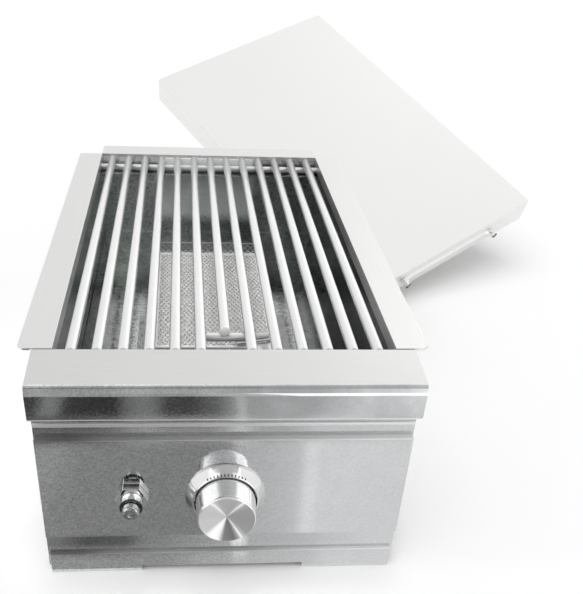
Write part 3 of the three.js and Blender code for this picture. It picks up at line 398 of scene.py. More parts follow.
def fired_clay(name, colour, roughness, pore):
    """Burner tile or insulator: pale ceramic with pin holes."""
    shade = Shade(name, metallic=0.0)
    cells = {"Vector": shade.place(), "Scale": CLAY_PORES}
    holes = shade.node("ShaderNodeTexVoronoi", {"feature": "F1"}, cells)
    pits = shade.ramp(holes, (0.0, 1 - pore), (0.35, 1.0))
    mottle = shade.noise(shade.place(), CLAY_MOTTLE, 3, 0.6)
    shade.feed("Base Color", tinted(shade, pits * (1 + (mottle - 0.5) * 0.2), colour))
    shade.feed("Roughness", roughness + (mottle - 0.5) * 0.2)
    shade.bump(pits, pore, 0.0003)
    return shade.material


def black_plastic(name):
    shade = Shade(name, metallic=0.0)
    grain = shade.noise(shade.place(), SPECKS, 3, 0.6)
    shade.feed("Base Color", tinted(shade, 1 + (grain - 0.5) * 0.4, grey(0.022)))
    shade.feed("Roughness", 0.42 + (grain - 0.5) * 0.2)
    shade.bump(grain, 0.15, 0.0001)
    return shade.material


def spun_steel(name, axis_x, axis_z, pitch, depth):
    """Steel faced on a lathe: fine rings, and four fans of sheen painted into its colour as a painted
    highlight.
    """
    shade = Shade(name)
    right, back, height = shade.parts()
    across, up = right - axis_x, height - axis_z
    reach = (across * across + up * up) ** 0.5
    ring = shade.node("ShaderNodeCombineXYZ", sockets={"X": reach * (1 / pitch), "Y": 0.0, "Z": 0.0})
    grooves = shade.noise(ring, 1, 3, 0.7)
    turn = up.maths("ARCTAN2", up, across) * (0.5 / math.pi) + 0.5
    # A painted highlight: four fans of sheen by the turn round the axis, less metallic where brightest
    painted_sheen = shade.ramp(turn, *PAINTED_SHEEN_STOPS)
    tone = painted_sheen * (1.08 + (grooves - 0.5) * 0.35)
    shade.feed("Base Color", tone_colour(shade, tone))
    shade.feed("Metallic", 0.55 - shade.ramp(painted_sheen, (0.75, 0.0), (1.0, 0.5)))
    shade.feed("Roughness", 0.30 + (grooves - 0.5) * 0.12)
    shade.bump(grooves, 0.35, depth)
    return shade.material


# The share of each step that a tick fills, and how high above the knob's axis the ticks begin
TICK_WIDTH = 0.4
TICKED_ARC = 0.8


def marked_chrome(name, axis_z, inner, outer, ticks):
    """The bezel's chrome, with a row of small dark ticks over the knob."""
    shade = Shade(name, metallic=1.0, roughness=0.09)
    across, back, height = shade.parts()
    up = height - axis_z
    reach = (across * across + up * up) ** 0.5
    turn = up.maths("ARCTAN2", up, across) * (ticks * 0.5 / math.pi)
    ring = (reach > inner) * (reach < outer) * (up > reach * TICKED_ARC)
    tick = (abs(turn.maths("FRACT", turn) - 0.5) < TICK_WIDTH / 2) * ring
    clouds = shade.noise(shade.place(), CHROME_CLOUDS, 3, 0.6)
    tone = (1 + (clouds - 0.5) * 0.2) * (1 - tick * 0.85)
    shade.feed("Base Color", tinted(shade, tone, grey(0.80)))
    shade.bump(clouds, 0.05, 0.0001)
    return shade.material


# The painted sheen of the knob's dished face: how bright it is at each part of a turn, from pointing left
# round by below
PAINTED_SHEEN_STOPS = [
    (0.00, 0.72),
    (0.10, 0.70),
    (0.135, 0.98),
    (0.17, 1.0),
    (0.20, 0.92),
    (0.23, 0.28),
    (0.30, 0.24),
    (0.325, 0.52),
    (0.342, 1.0),
    (0.36, 0.70),
    (0.39, 0.48),
    (0.50, 0.46),
    (0.60, 0.48),
    (0.635, 0.62),
    (0.652, 1.0),
    (0.67, 0.64),
    (0.70, 0.52),
    (0.80, 0.54),
    (0.825, 0.68),
    (0.845, 1.0),
    (0.865, 0.76),
    (0.92, 0.70),
]

# The painted shade of the upper rims of the front's raised plates: how bright they are, from left to right
BRIM_PAINTED_SHADE = [
    (-0.13, 0.13),
    (-0.1, 0.25),
    (-0.06, 0.34),
    (0.0, 0.42),
    (0.03, 0.52),
    (0.08, 0.65),
    (0.12, 0.75),
]

# The painted shade of the rolled lip and the wall's bead: darker to the left
LIP_PAINTED_SHADE = [(-0.12, 0.8), (0.12, 1.0)]

# How high the knob's axis is
CONTROL_Z = 94 * MM

STEEL_WING = sheet_steel("wing_steel", 0.76, 0.36, ALONG_Y, speckle=0.02, smudge=0.02)
STEEL_DECK = sheet_steel("deck_steel", 0.68, 0.30, ALONG_X, speckle=0.02, smudge=0.02)
STEEL_NOSE = mottled_steel("nose_steel", 0.72, 0.07, speckle=0.08, patch=0.10)
STEEL_PANEL = mottled_steel("panel_steel", 0.74, 0.07, speckle=0.12, patch=0.02)
STEEL_BODY = sheet_steel("body_steel", 0.62, 0.30, ALONG_Y, speckle=0.04)
STEEL_LINER = liner_steel("liner_steel", 0.50)
STEEL_LID = sheet_steel("lid_steel", 0.84, 0.34, ALONG_Y, speckle=0.01, smudge=0.01, streak=0.02)
STEEL_BURNER = mottled_steel("burner_steel", 0.42, 0.30, speckle=0.35, patch=0.10, patch_scale=80)
STEEL_WIRE = polished_steel("screen_wire", 0.98, 0.40, metallic=0.1)
STEEL_HEATED = polished_steel("heated_wire", 0.55, 0.40, metallic=0.7)
STEEL_KNOB = polished_steel("knob_steel", 0.92, 0.10, metallic=0.88)
STEEL_BUTTON = mottled_steel("button_steel", 0.52, 0.16, speckle=0.25, patch=0.30, patch_scale=330)
STEEL_ROD = polished_steel("rod_steel", 0.75, 0.20, metallic=0.58)
# The lip and the brim carry a painted shade that lightens to the right
STEEL_LIP = polished_steel("lip_steel", 0.80, 0.20, ALONG_X, metallic=0.5, stops=LIP_PAINTED_SHADE)
STEEL_BRIM = polished_steel("brim_steel", 1.0, 0.30, ALONG_X, metallic=0.1, stops=BRIM_PAINTED_SHADE)
POLISHED = polished_steel("polished_steel", 0.84, 0.16)
CHROME = polished_steel("chrome", 0.86, 0.07)
SPUN = spun_steel("spun_steel", 0, CONTROL_Z, pitch=0.00035, depth=0.00006)
BEZEL = marked_chrome("bezel_chrome", CONTROL_Z, inner=0.0287, outer=0.0299, ticks=60)
ZINC = plated("zinc", grey(0.50), 0.42)
BRASS = plated("brass", (0.62, 0.44, 0.18, 1), 0.30)
CLAY = fired_clay("fired_clay", (0.74, 0.73, 0.70, 1), 0.8, pore=0.5)
GLAZE = fired_clay("glazed_clay", (0.86, 0.85, 0.82, 1), 0.22, pore=0.1)
BLACK = black_plastic("black_plastic")

CAD_FINISHES = {
    STEEL_BODY: ["base_pan"],
    STEEL_BURNER: ["burner_box", "burner_bracket_left", "burner_bracket_right", "burner_bracket_rear"],
    POLISHED: ["electrode_wire"],
    CHROME: ["bracket_screw_left", "bracket_screw_right", "bracket_screw_rear"],
    ZINC: [
        "valve_stem",
        "valve_bonnet",
        "gas_valve",
        "valve_screw_left",
        "valve_screw_right",
        "venturi_tube",
        "air_shutter",
    ],
    BRASS: ["stem_collar", "orifice_spud", "gas_pipe", "valve_inlet_nut", "inlet_fitting", "inlet_locknut"],
    CLAY: ["ceramic_tile_front", "ceramic_tile_rear"],
    BLACK: ["igniter_body", "ignition_lead"],
}


def finish_cad_nodes():
    for material, names in CAD_FINISHES.items():
        for name in names:
            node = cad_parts[name]
            node.data.materials.clear()
            node.data.materials.append(material)


# Modelling helpers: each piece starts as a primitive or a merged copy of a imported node

def take(piece):
    bpy.ops.object.select_all(action="DESELECT")
    piece.select_set(True)
    bpy.context.view_layer.objects.active = piece


def enter(piece):
    take(piece)
    bpy.ops.object.mode_set(mode="EDIT")
    bpy.ops.mesh.select_mode(type="VERT")


def leave():
    bpy.ops.object.mode_set(mode="OBJECT")


def settle(piece):
    """Moves the place of a piece into its mesh."""
    take(piece)
    bpy.ops.object.transform_apply(location=True, rotation=True, scale=True)


def pick(piece, kind, wanted):
    """Selects, in a piece open in edit mode, the vertices, edges or faces whose points pass a test."""
    bpy.ops.mesh.select_all(action="DESELECT")
    bpy.ops.mesh.select_mode(type=kind)
    leave()
    mesh = piece.data
    if kind == "VERT":
        for vertex in mesh.vertices:
            vertex.select = wanted([vertex.co])
    else:
        for element in mesh.edges if kind == "EDGE" else mesh.polygons:
            element.select = wanted([mesh.vertices[i].co for i in element.vertices])
    bpy.ops.object.mode_set(mode="EDIT")


def modify(piece, kind, **settings):
    take(piece)
    modifier = piece.modifiers.new(kind.lower(), kind)
    for name, value in settings.items():
        setattr(modifier, name, value)
    bpy.ops.object.modifier_apply(modifier=modifier.name)


# The turn in degrees past which an edge between two faces stays sharp: of sheet, of bends and of wire
SHEET_TURN = 38
BEND_TURN = 50
WIRE_TURN = 60


def smooth(piece, degrees=SHEET_TURN):
    take(piece)
    bpy.ops.object.shade_smooth_by_angle(angle=math.radians(degrees))


def dress(piece, material, body, *replaced):
    """Gives a piece its finish and its body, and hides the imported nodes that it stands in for."""
    piece.data.materials.clear()
    piece.data.materials.append(material)
    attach(piece, body)
    if replaced:
        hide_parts(*replaced)
    return piece


def other_finish(piece, material, wanted):
    """Gives the faces that a test accepts a finish of their own."""
    piece.data.materials.append(material)
    enter(piece)
    pick(piece, "FACE", wanted)
    piece.active_material_index = len(piece.data.materials) - 1
    bpy.ops.object.material_slot_assign()
    leave()


# Points closer than this are one
SEAM = 0.002 * MM


def turned(name, centre, axis, profile, sides):
    """A body turned about an axis: a circle, drawn out ring by ring along (radius, reach) points."""
    centre, axis = Vector(centre), Vector(axis)
    bpy.ops.object.select_all(action="DESELECT")
    radius, reach = profile[0]
    bpy.ops.mesh.primitive_circle_add(
        vertices=sides,
        radius=radius,
        location=centre + axis * reach,
        rotation=axis.to_track_quat("Z", "Y").to_euler(),
    )
    piece = bpy.context.object
    piece.name = name
    settle(piece)
    enter(piece)
    bpy.ops.mesh.select_all(action="SELECT")
    for (before, start), (after, end) in zip(profile, profile[1:]):
        bpy.ops.mesh.extrude_region_move(TRANSFORM_OT_translate={"value": axis * (end - start)})
        grown = [1 if abs(part) > 0.5 else after / before for part in axis]
        bpy.ops.transform.resize(value=grown, center_override=centre + axis * end)
    bpy.ops.mesh.select_all(action="SELECT")
    bpy.ops.mesh.remove_doubles(threshold=SEAM)
    bpy.ops.mesh.fill_holes(sides=0)
    bpy.ops.mesh.select_all(action="SELECT")
    bpy.ops.mesh.normals_make_consistent(inside=False)
    leave()
    smooth(piece)
    return piece


# How far in the middle of a quarter round lies, as a share of its radius
QUARTER = 0.3


def rounded_ends(radius, start, end, ease):
    """The profile of a round bar with eased ends."""
    return [
        (radius - ease, start),
        (radius - ease * QUARTER, start + ease * QUARTER),
        (radius, start + ease),
        (radius, end - ease),
        (radius - ease * QUARTER, end - ease * QUARTER),
        (radius - ease, end),
    ]


def copied(piece, name, move):
    twin = bpy.data.objects.new(name, piece.data.copy())
    twin.data.transform(Matrix.Translation(move))
    bpy.context.collection.objects.link(twin)
    return twin


def joined(name, pieces):
    take(pieces[0])
    for piece in pieces[1:]:
        piece.select_set(True)
    bpy.ops.object.join()
    pieces[0].name = name
    return pieces[0]


def corners(node):
    """A node's lowest and highest corners."""
    low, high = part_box(node)
    return Vector(low), Vector(high)


SLACK = 0.4 * MM


def near(value, target, slack=SLACK):
    return abs(value - target) < slack


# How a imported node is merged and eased
NODE_SEAM = 0.004 * MM
MIRROR_SLACK = 0.02 * MM
MIRROR_INSET = 0.3 * MM
FLAT_ANGLE = math.radians(0.5)
SHARP_ANGLE = math.radians(35)
SHEET_EDGE = 0.3 * MM


def eased(name, node, edge=SHEET_EDGE, folds=None, fold=0.001, mirror_y=None):
    """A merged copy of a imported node: folds rounded, other sharp edges eased, the mirror face kept flat."""
    piece = bpy.data.objects.new(name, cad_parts[node].data.copy())
    bpy.context.collection.objects.link(piece)
    enter(piece)
    bpy.ops.mesh.select_all(action="SELECT")
    bpy.ops.mesh.remove_doubles(threshold=NODE_SEAM)
    bpy.ops.mesh.dissolve_limited(angle_limit=FLAT_ANGLE)
    if folds:
        pick(piece, "EDGE", folds)
        bpy.ops.mesh.bevel(offset=fold, segments=4, affect="EDGES")
    leave()
    modify(piece, "BEVEL", width=edge, segments=2, limit_method="ANGLE", angle_limit=SHARP_ANGLE)
    if mirror_y is not None:
        enter(piece)
        pick(piece, "FACE", lambda face: all(near(p.y, mirror_y, MIRROR_SLACK) for p in face))
        bpy.ops.mesh.inset(thickness=MIRROR_INSET)
        leave()
    smooth(piece)
    modify(piece, "WEIGHTED_NORMAL", keep_sharp=True)
    return piece


# Sheet pieces, with their folds rounded and their edges eased

PLATE_EDGE = 0.35 * MM
PLATE_FOLD = 1.1 * MM
KICK_FOLD = 0.8 * MM
FLANGE_EDGE = 0.4 * MM
TUBE_EDGE = 0.6 * MM

# The rims of the raised plates, and the nose with the lip rolled under it
RIM_DEPTH = 1 * MM
RIM_SEAT = 0.7 * MM
NOSE_DEPTH = 6 * MM
ROLLED_LIP = 2.4 * MM

# The bead pressed along the front wall
BEAD_Z = 166.2 * MM
BEAD_AHEAD = 0.7 * MM
BEAD_DEPTH = 1.8 * MM
BEAD_HEIGHT = 4.5 * MM
BEAD_ROUND = 1.4 * MM
BEAD_SHORTER = 1 * MM
BEAD_SHINE = 0.2 * MM


def rim_test(low, high):
    """A test for the edges that bound a plate's front face."""
    def test(line):
        return all(near(p.y, low.y) for p in line) and any(
            all(near(p[axis], bound[axis]) for p in line) for axis in (0, 2) for bound in (low, high)
        )

    return test


def seat_rim(piece, rear_y):
    """Brings a plate's rear rim up against the wall that it is welded to."""
    enter(piece)
    pick(piece, "VERT", lambda point: near(point[0].y, rear_y))
    bpy.ops.transform.translate(value=(0, RIM_SEAT, 0))
    leave()


def wall_bead(low, high):
    """The bead pressed along the front wall, just under the nose."""
    bpy.ops.object.select_all(action="DESELECT")
    bpy.ops.mesh.primitive_cube_add(size=1, location=(0, low.y - BEAD_AHEAD, BEAD_Z))
    bead = bpy.context.object
    bead.name = "wall_bead"
    bead.scale = (high.x - low.x - BEAD_SHORTER, BEAD_DEPTH, BEAD_HEIGHT)
    settle(bead)
    enter(bead)
    ahead_y = low.y - BEAD_AHEAD
    pick(bead, "EDGE", lambda line: all(p.y < ahead_y for p in line) and near(line[0].z, line[1].z))
    bpy.ops.mesh.bevel(offset=BEAD_ROUND, segments=5, affect="EDGES")
    leave()
    smooth(bead, BEND_TURN)
    return bead


def plain_sheet(name, node, material, edge=SHEET_EDGE, body="casing"):
    return dress(eased(name, node, edge), material, body, node)


def make_front():
    """The control panel, the kick plate, the wall behind them and the deck with its nose."""
    low, high = corners("control_panel")
    folds = rim_test(low, high)
    plate = eased("plate_sheet", "control_panel", PLATE_EDGE, folds, PLATE_FOLD, mirror_y=low.y)
    seat_rim(plate, high.y)
    dress(plate, STEEL_PANEL, "casing", "control_panel")
    brim_z = high.z - RIM_DEPTH
    other_finish(plate, STEEL_BRIM, lambda face: all(p.z > brim_z for p in face))
    low, high = corners("kick_plate")
    kick = eased("kick_sheet", "kick_plate", PLATE_EDGE, rim_test(low, high), KICK_FOLD)
    seat_rim(kick, high.y)
    dress(kick, STEEL_PANEL, "casing", "kick_plate")
    shelf_z = high.z - RIM_DEPTH
    other_finish(kick, STEEL_BRIM, lambda face: all(p.z > shelf_z for p in face))
    low, high = corners("front_panel")
    bead = wall_bead(low, high)
    wall = eased("front_wall_sheet", "front_panel", mirror_y=low.y)
    wall = dress(joined("front_wall_sheet", [wall, bead]), STEEL_PANEL, "casing", "front_panel")
    bead_y = low.y - BEAD_SHINE
    other_finish(wall, STEEL_LIP, lambda face: all(p.y < bead_y for p in face))
    deck = plain_sheet("deck_sheet", "front_deck", STEEL_DECK)
    low, high = corners("front_deck")
    nose_y = low.y + NOSE_DEPTH
    other_finish(deck, STEEL_NOSE, lambda face: all(p.y < nose_y for p in face))
    lip_z = low.z + ROLLED_LIP
    other_finish(deck, STEEL_LIP, lambda face: all(p.z < lip_z for p in face))


def make_sheets():
    """The sheet pieces that need no more than eased edges and a finish."""
    for side in ("left", "right"):
        plain_sheet(f"{side}_wing_sheet", f"{side}_wing", STEEL_WING, FLANGE_EDGE)
        plain_sheet(f"{side}_panel_sheet", f"{side}_side_panel", STEEL_BODY)
        plain_sheet(f"liner_{side}_sheet", f"liner_side_{side}", STEEL_LINER)
    plain_sheet("rear_sheet", "rear_panel", STEEL_WING, FLANGE_EDGE)
    plain_sheet("liner_sheet", "firebox_liner", STEEL_LINER)
    for end in ("front", "rear"):
        plain_sheet(f"{end}_ledge_sheet", f"{end}_grate_ledge", STEEL_LINER)
    plain_sheet("holder_sheet", "electrode_holder", POLISHED)
    plain_sheet("insulator_tube", "electrode_insulator", GLAZE, TUBE_EDGE)
    plain_sheet("lid_sheet", "lid_shell", STEEL_LID, body="lid")


# Grate

ROD_RADIUS = 4.75 * MM
ROD_COUNT = 13
ROD_PITCH = 21.4 * MM
ROD_EASE = 1.2 * MM
ROD_SIDES = 32
MIDDLE_ROD = (ROD_COUNT - 1) / 2
CROSS_RADIUS = 4 * MM
CROSS_EASE = 1 * MM
CROSS_SIDES = 24
CROSS_INSET = 10 * MM
CROSS_OVERHANG = 4.85 * MM

# The lifter's crossbar, from the front ends of the rods, and the cut end of the rod over it
LIFTER_BACK = 39.8 * MM
LIFTER_OVERHANG = 2 * MM
CUT_AHEAD = 4.3 * MM
CUT_EASE = 0.6 * MM
CUT_SLACK = 0.1 * MM

# The beads of weld beside each crossing
WELD_RADIUS = 1.6 * MM
WELD_ROUGHNESS = 0.3 * MM
WELD_SHAPE = (0.7, 1.5, 0.8)
WELD_ASIDE = 2.6 * MM
WELD_ALONG = 1.4 * MM
WELD_SINK = 0.6 * MM


def rod_x(i):
    """How far right a rod of the grate lies."""
    return (i - MIDDLE_ROD) * ROD_PITCH


def weld_bead():
    """A small lump of weld, drawn out along the joint and roughened."""
    bpy.ops.object.select_all(action="DESELECT")
    bpy.ops.mesh.primitive_ico_sphere_add(subdivisions=2, radius=WELD_RADIUS, location=(0, 0, 0))
    bead = bpy.context.object
    bead.name = "bead"
    bead.scale = WELD_SHAPE
    settle(bead)
    enter(bead)
    bpy.ops.mesh.select_all(action="SELECT")
    bpy.ops.transform.vertex_random(offset=WELD_ROUGHNESS, seed=3)
    leave()
    smooth(bead, WIRE_TURN)
    return bead


def grate_rods(front, rear, rod_z, cut):
    """The rods from front to rear, the middle one from its cut end."""
    whole = rounded_ends(ROD_RADIUS, front, rear, ROD_EASE)
    first = turned("rod", (0, 0, rod_z), (0, 1, 0), whole, ROD_SIDES)
    short = rounded_ends(ROD_RADIUS, cut, rear, CUT_EASE)
    rods = [turned("short_rod", (0, 0, rod_z), (0, 1, 0), short, ROD_SIDES)]
    for i in range(ROD_COUNT):
        if i != MIDDLE_ROD:
            rods.append(copied(first, "rod_copy", (rod_x(i), 0, 0)))
    bpy.data.objects.remove(first)
    return rods


def cross_rods(rows, cross_z):
    """The rods across, each with its place to the back and its reach to either side."""
    rods = []
    for y, reach in rows:
        ends = rounded_ends(CROSS_RADIUS, -reach, reach, CROSS_EASE)
        rods.append(turned("cross_rod", (0, y, cross_z), (1, 0, 0), ends, CROSS_SIDES))
    return rods


def weld_beads(rows, contact_z):
    """Two beads wherever a rod lies on a cross rod."""
    bead = weld_bead()
    beads = []
    for y, reach in rows:
        for i in range(ROD_COUNT):
            if abs(rod_x(i)) > reach:
                continue
            for side in (-1, 1):
                spot = (rod_x(i) + side * WELD_ASIDE, y + side * WELD_ALONG, contact_z)
                beads.append(copied(bead, "bead_copy", spot))
    bpy.data.objects.remove(bead)
    return beads


def make_grate():
    low, high = corners("grate")
    rod_z = high.z - ROD_RADIUS
    cross_z = low.z + CROSS_RADIUS
    half = high.x + CROSS_OVERHANG
    lifter_y = low.y + LIFTER_BACK
    cut = lifter_y - CUT_AHEAD
    rows = [
        (low.y + CROSS_INSET, half),
        (high.y - CROSS_INSET, half),
        (lifter_y, ROD_PITCH + LIFTER_OVERHANG),
    ]
    rods = grate_rods(low.y, high.y, rod_z, cut)
    rods += cross_rods(rows, cross_z)
    rods += weld_beads(rows, (rod_z + cross_z) / 2 - WELD_SINK)
    grate = dress(joined("grate_rods", rods), STEEL_ROD, "grate", "grate")

    def at_cut(point):
        return abs(point.x) < ROD_RADIUS + CUT_SLACK and near(point.y, cut, CUT_EASE + CUT_SLACK)

    other_finish(grate, STEEL_WIRE, lambda face: all(at_cut(point) for point in face))


# Burner screen: a weave in diamonds in a flat frame, with a strip that turns up along the rear edge

WEAVE_PITCH = 3.6 * MM
WEAVE_STRETCH = 2.1
WEAVE_SEAT = 1.4 * MM
WEAVE_WAVE = 0.3 * MM
WEAVE_WIRE = 2.1 * MM
WEAVE_INSET = 3.5 * MM

# The strip that turns up
LIP_PITCH = WEAVE_PITCH * 1.4
LIP_RISE = 13.5 * MM
LIP_FOOT = 1.2 * MM
LIP_WIRE = 1.3 * MM
LIP_INSET = 1 * MM
LIP_WAVE = 0.5 * MM

# The frame
FRAME_WIDTH = 4.5 * MM
FRAME_EDGE = 0.6 * MM


def make_screen():
    low, high = corners("burner_screen")
    weave = screen_weave(low, high)
    rim = screen_frame(low, high)
    lip = screen_lip(low, high)
    screen = dress(joined("burner_mesh", [rim, weave, lip]), STEEL_WIRE, "casing", "burner_screen")
    lip_z = high.z + SLACK
    other_finish(screen, STEEL_HEATED, lambda face: all(p.z > lip_z for p in face))


def trim(*cuts):
    """Cuts off what lies beyond planes, each given by a place and the way outwards."""
    for place, outwards in cuts:
        bpy.ops.mesh.select_all(action="SELECT")
        bpy.ops.mesh.bisect(plane_co=place, plane_no=outwards, clear_outer=True)


def screen_weave(low, high):
    """Crossed wires, every other crossing raised, in diamonds that are drawn out front to back."""
    side = math.hypot(high.x - low.x, high.y - low.y)
    cells = int(side / WEAVE_PITCH)
    centre = (low + high) / 2
    bpy.ops.object.select_all(action="DESELECT")
    bpy.ops.mesh.primitive_grid_add(
        x_subdivisions=cells,
        y_subdivisions=cells,
        size=side,
        location=(centre.x, centre.y, low.z + WEAVE_SEAT),
        rotation=(0, 0, math.radians(45)),
    )
    weave = bpy.context.object
    weave.name = "screen_mesh"
    settle(weave)
    enter(weave)
    cell = side / cells

    def raised(point):
        right, back = point[0].x - centre.x, point[0].y - centre.y
        steps = [round(part / math.sqrt(2) / cell) for part in (right + back, back - right)]
        return sum(steps) % 2 == 0

    pick(weave, "VERT", raised)
    bpy.ops.transform.translate(value=(0, 0, WEAVE_WAVE))
    bpy.ops.mesh.select_all(action="SELECT")
    bpy.ops.transform.resize(value=(1, WEAVE_STRETCH, 1), center_override=(centre.x, centre.y, low.z))
    trim(
        ((low.x + WEAVE_INSET, 0, 0), (-1, 0, 0)),
        ((high.x - WEAVE_INSET, 0, 0), (1, 0, 0)),
        ((0, low.y + WEAVE_INSET, 0), (0, -1, 0)),
        ((0, high.y - WEAVE_INSET, 0), (0, 1, 0)),
    )
    leave()
    modify(weave, "WIREFRAME", thickness=WEAVE_WIRE, use_even_offset=False, use_boundary=True)
    smooth(weave, WIRE_TURN)
    return weave


def screen_lip(low, high):
    """The strip of mesh that turns up along the rear edge of the burner."""
    cells = int((high.x - low.x) / LIP_PITCH)
    bpy.ops.object.select_all(action="DESELECT")
    bpy.ops.mesh.primitive_grid_add(
        x_subdivisions=cells,
        y_subdivisions=cells,
        size=high.x - low.x,
        location=((low.x + high.x) / 2, high.y - LIP_FOOT, high.z),
        rotation=(math.radians(90), math.radians(45), 0),
    )
    lip = bpy.context.object
    lip.name = "screen_lip"
    settle(lip)
    enter(lip)
    trim(
        ((low.x + LIP_INSET, 0, 0), (-1, 0, 0)),
        ((high.x - LIP_INSET, 0, 0), (1, 0, 0)),
        ((0, 0, high.z - LIP_FOOT), (0, 0, -1)),
        ((0, 0, high.z + LIP_RISE), (0, 0, 1)),
    )
    bpy.ops.mesh.select_all(action="SELECT")
    bpy.ops.transform.vertex_random(offset=LIP_WAVE, seed=7)
    leave()
    modify(lip, "WIREFRAME", thickness=LIP_WIRE, use_even_offset=False, use_boundary=True)
    smooth(lip, WIRE_TURN)
    return lip


def screen_frame(low, high):
    """A flat frame round the mesh, drawn from a plane by an inset and a rise."""
    centre = (low + high) / 2
    bpy.ops.object.select_all(action="DESELECT")
    bpy.ops.mesh.primitive_plane_add(size=1, location=(centre.x, centre.y, low.z))
    rim = bpy.context.object
    rim.name = "screen_frame"
    rim.scale = (high.x - low.x, high.y - low.y, 1)
    settle(rim)
    enter(rim)
    bpy.ops.mesh.select_all(action="SELECT")
    bpy.ops.mesh.inset(thickness=FRAME_WIDTH)
    bpy.ops.mesh.delete(type="FACE")
    leave()
    modify(rim, "SOLIDIFY", thickness=high.z - low.z, offset=1)
    modify(rim, "BEVEL", width=FRAME_EDGE, segments=2, limit_method="ANGLE", angle_limit=SHARP_ANGLE)
    smooth(rim)
    return rim


# Controls: outlines of radius and reach in millimetres, the reach from the face of the control panel

TOWARDS_USER = (0, -1, 0)
KNOB_SIDES = 96
BUTTON_SIDES = 48
NUT_EDGE = 0.6 * MM
BEZEL_OUTLINE = [
    (27.2, 0.3), (34.6, 0.3), (35, 0.6), (35, 1.0), (34.2, 2.2), (32.9, 3.9), (31.6, 5.7),
    (30.3, 7.4), (29.1, 9.0), (28.5, 9.8), (28.0, 10.0), (27.5, 9.8), (27.2, 9.3), (27.2, 0.3),
]
KNOB_OUTLINE = [
    (3.3, 5.3), (8, 5.3), (8, 24.2), (21.4, 24.2), (23.3, 5.3), (25.6, 5.3), (26.2, 5.6),
    (26.3, 6.4), (25.9, 13), (25.4, 20), (24.9, 28), (24.6, 31.2), (24.4, 31.9), (24.0, 32.3),
    (23.6, 32.5), (23.0, 32.3), (20.5, 31.6), (17.0, 30.8), (13.0, 29.9), (9.0, 29.05),
    (5.0, 28.35), (2.5, 28.08), (0.8, 28.0),
]
DISH_RADIUS = 23.7 * MM
DISH_REACH = 27.9 * MM
COLLAR_OUTLINE = [
    (0.5, -10.0), (13.6, -10.0), (14, -9.6), (14, -7.9), (13.6, -7.5), (9, -7.5), (9, 14.9),
    (8.7, 15.4), (8.3, 15.5), (7.9, 15.3), (7.8, 14.8), (7.8, 4.4), (0.5, 4.4),
]
RING_OUTLINE = [
    (8.2, 15.8), (9.4, 15.8), (9.8, 16.1), (9.8, 16.6), (9.4, 17.0), (8.6, 17.0), (8.2, 16.7),
    (8.2, 15.8),
]
BUTTON_OUTLINE = [
    (0.5, 9.5), (7.2, 9.5), (7.5, 9.8), (7.5, 21.9), (7.35, 22.8), (6.9, 23.7), (6.2, 24.4),
    (5.2, 24.85), (4.0, 25.0), (3.2, 24.9), (2.6, 24.5), (1.6, 24.3), (0.5, 24.25),
]


def control(name, centre, outline, sides=BUTTON_SIDES):
    """A round control piece that stands out of the panel, towards the user."""
    return turned(name, centre, TOWARDS_USER, in_metres(outline), sides)


def in_metres(outline):
    return [(radius * MM, reach * MM) for radius, reach in outline]


def make_knob(face_y):
    centre = (0, face_y, CONTROL_Z)
    bezel = control("bezel_ring", centre, BEZEL_OUTLINE, KNOB_SIDES)
    dress(bezel, BEZEL, "casing", "knob_bezel")
    knob = control("knob_body", centre, KNOB_OUTLINE, KNOB_SIDES)
    dress(knob, STEEL_KNOB, "knob", "knob")

    def in_dish(point):
        return point.y < face_y - DISH_REACH and math.hypot(point.x, point.z - CONTROL_Z) < DISH_RADIUS

    other_finish(knob, SPUN, lambda face: all(in_dish(point) for point in face))


def make_igniter(face_y):
    low, high = corners("igniter_nut")
    centre = ((low.x + high.x) / 2, face_y, (low.z + high.z) / 2)
    nut = eased("nut_hex", "igniter_nut", NUT_EDGE)
    dress(nut, CHROME, "casing", "igniter_nut")
    collar = control("collar_barrel", centre, COLLAR_OUTLINE)
    dress(collar, CHROME, "casing", "igniter_collar")
    ring = control("ring_seal", centre, RING_OUTLINE)
    dress(ring, BLACK, "casing", "igniter_ring")
    button = control("button_cap", centre, BUTTON_OUTLINE)
    dress(button, STEEL_BUTTON, "igniter_button", "igniter_button")


SPRING_EDGE = 0.1 * MM


def make_spring():
    """The return spring, with a mesh of its own; the real one shortens as the knob is pushed in."""
    coil = eased("spring_coil", "return_spring", SPRING_EDGE)
    dress(coil, CHROME, "casing", "return_spring")
    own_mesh(coil)


# Lid handle and its screws, made flat and then set in the leaning lid

LID_TILT = [math.radians(angle) for angle in (21.74, -13.87, 30.55)]
LID_SIZE = (350 * MM, 545 * MM, 38 * MM)
LID_PLACE = (216.7 * MM, 512.55 * MM)
LID_REST = 0.3 * MM
HANDLE_RADIUS = 4.5 * MM
HANDLE_HALF = 91 * MM
HANDLE_DROP = -19 * MM
HANDLE_FOOT = -272.8 * MM
HANDLE_REACH = -299.5 * MM
HANDLE_BEND = 14 * MM
HANDLE_SIDES = 28
BEND_STEPS = 8
SCREW_SEAT = -272.5 * MM
SCREW_SIDES = 32
SCREW_OUTLINE = [
    (1, -9), (2, -8.5), (2, 1.5), (3.8, 1.5), (4, 1.8), (4, 2.6), (3.6, 3.2), (2.6, 3.7),
    (1.0, 3.7), (0.9, 2.6),
]


def lid_matrix():
    """Where the lid leans: its lowest corner just clear of the floor."""
    turn = Euler(LID_TILT, "XYZ").to_matrix().to_4x4()
    width, length, height = LID_SIZE
    lowest = turn @ Vector((-width / 2, -length / 2, -height))
    return Matrix.Translation((*LID_PLACE, LID_REST - lowest.z)) @ turn


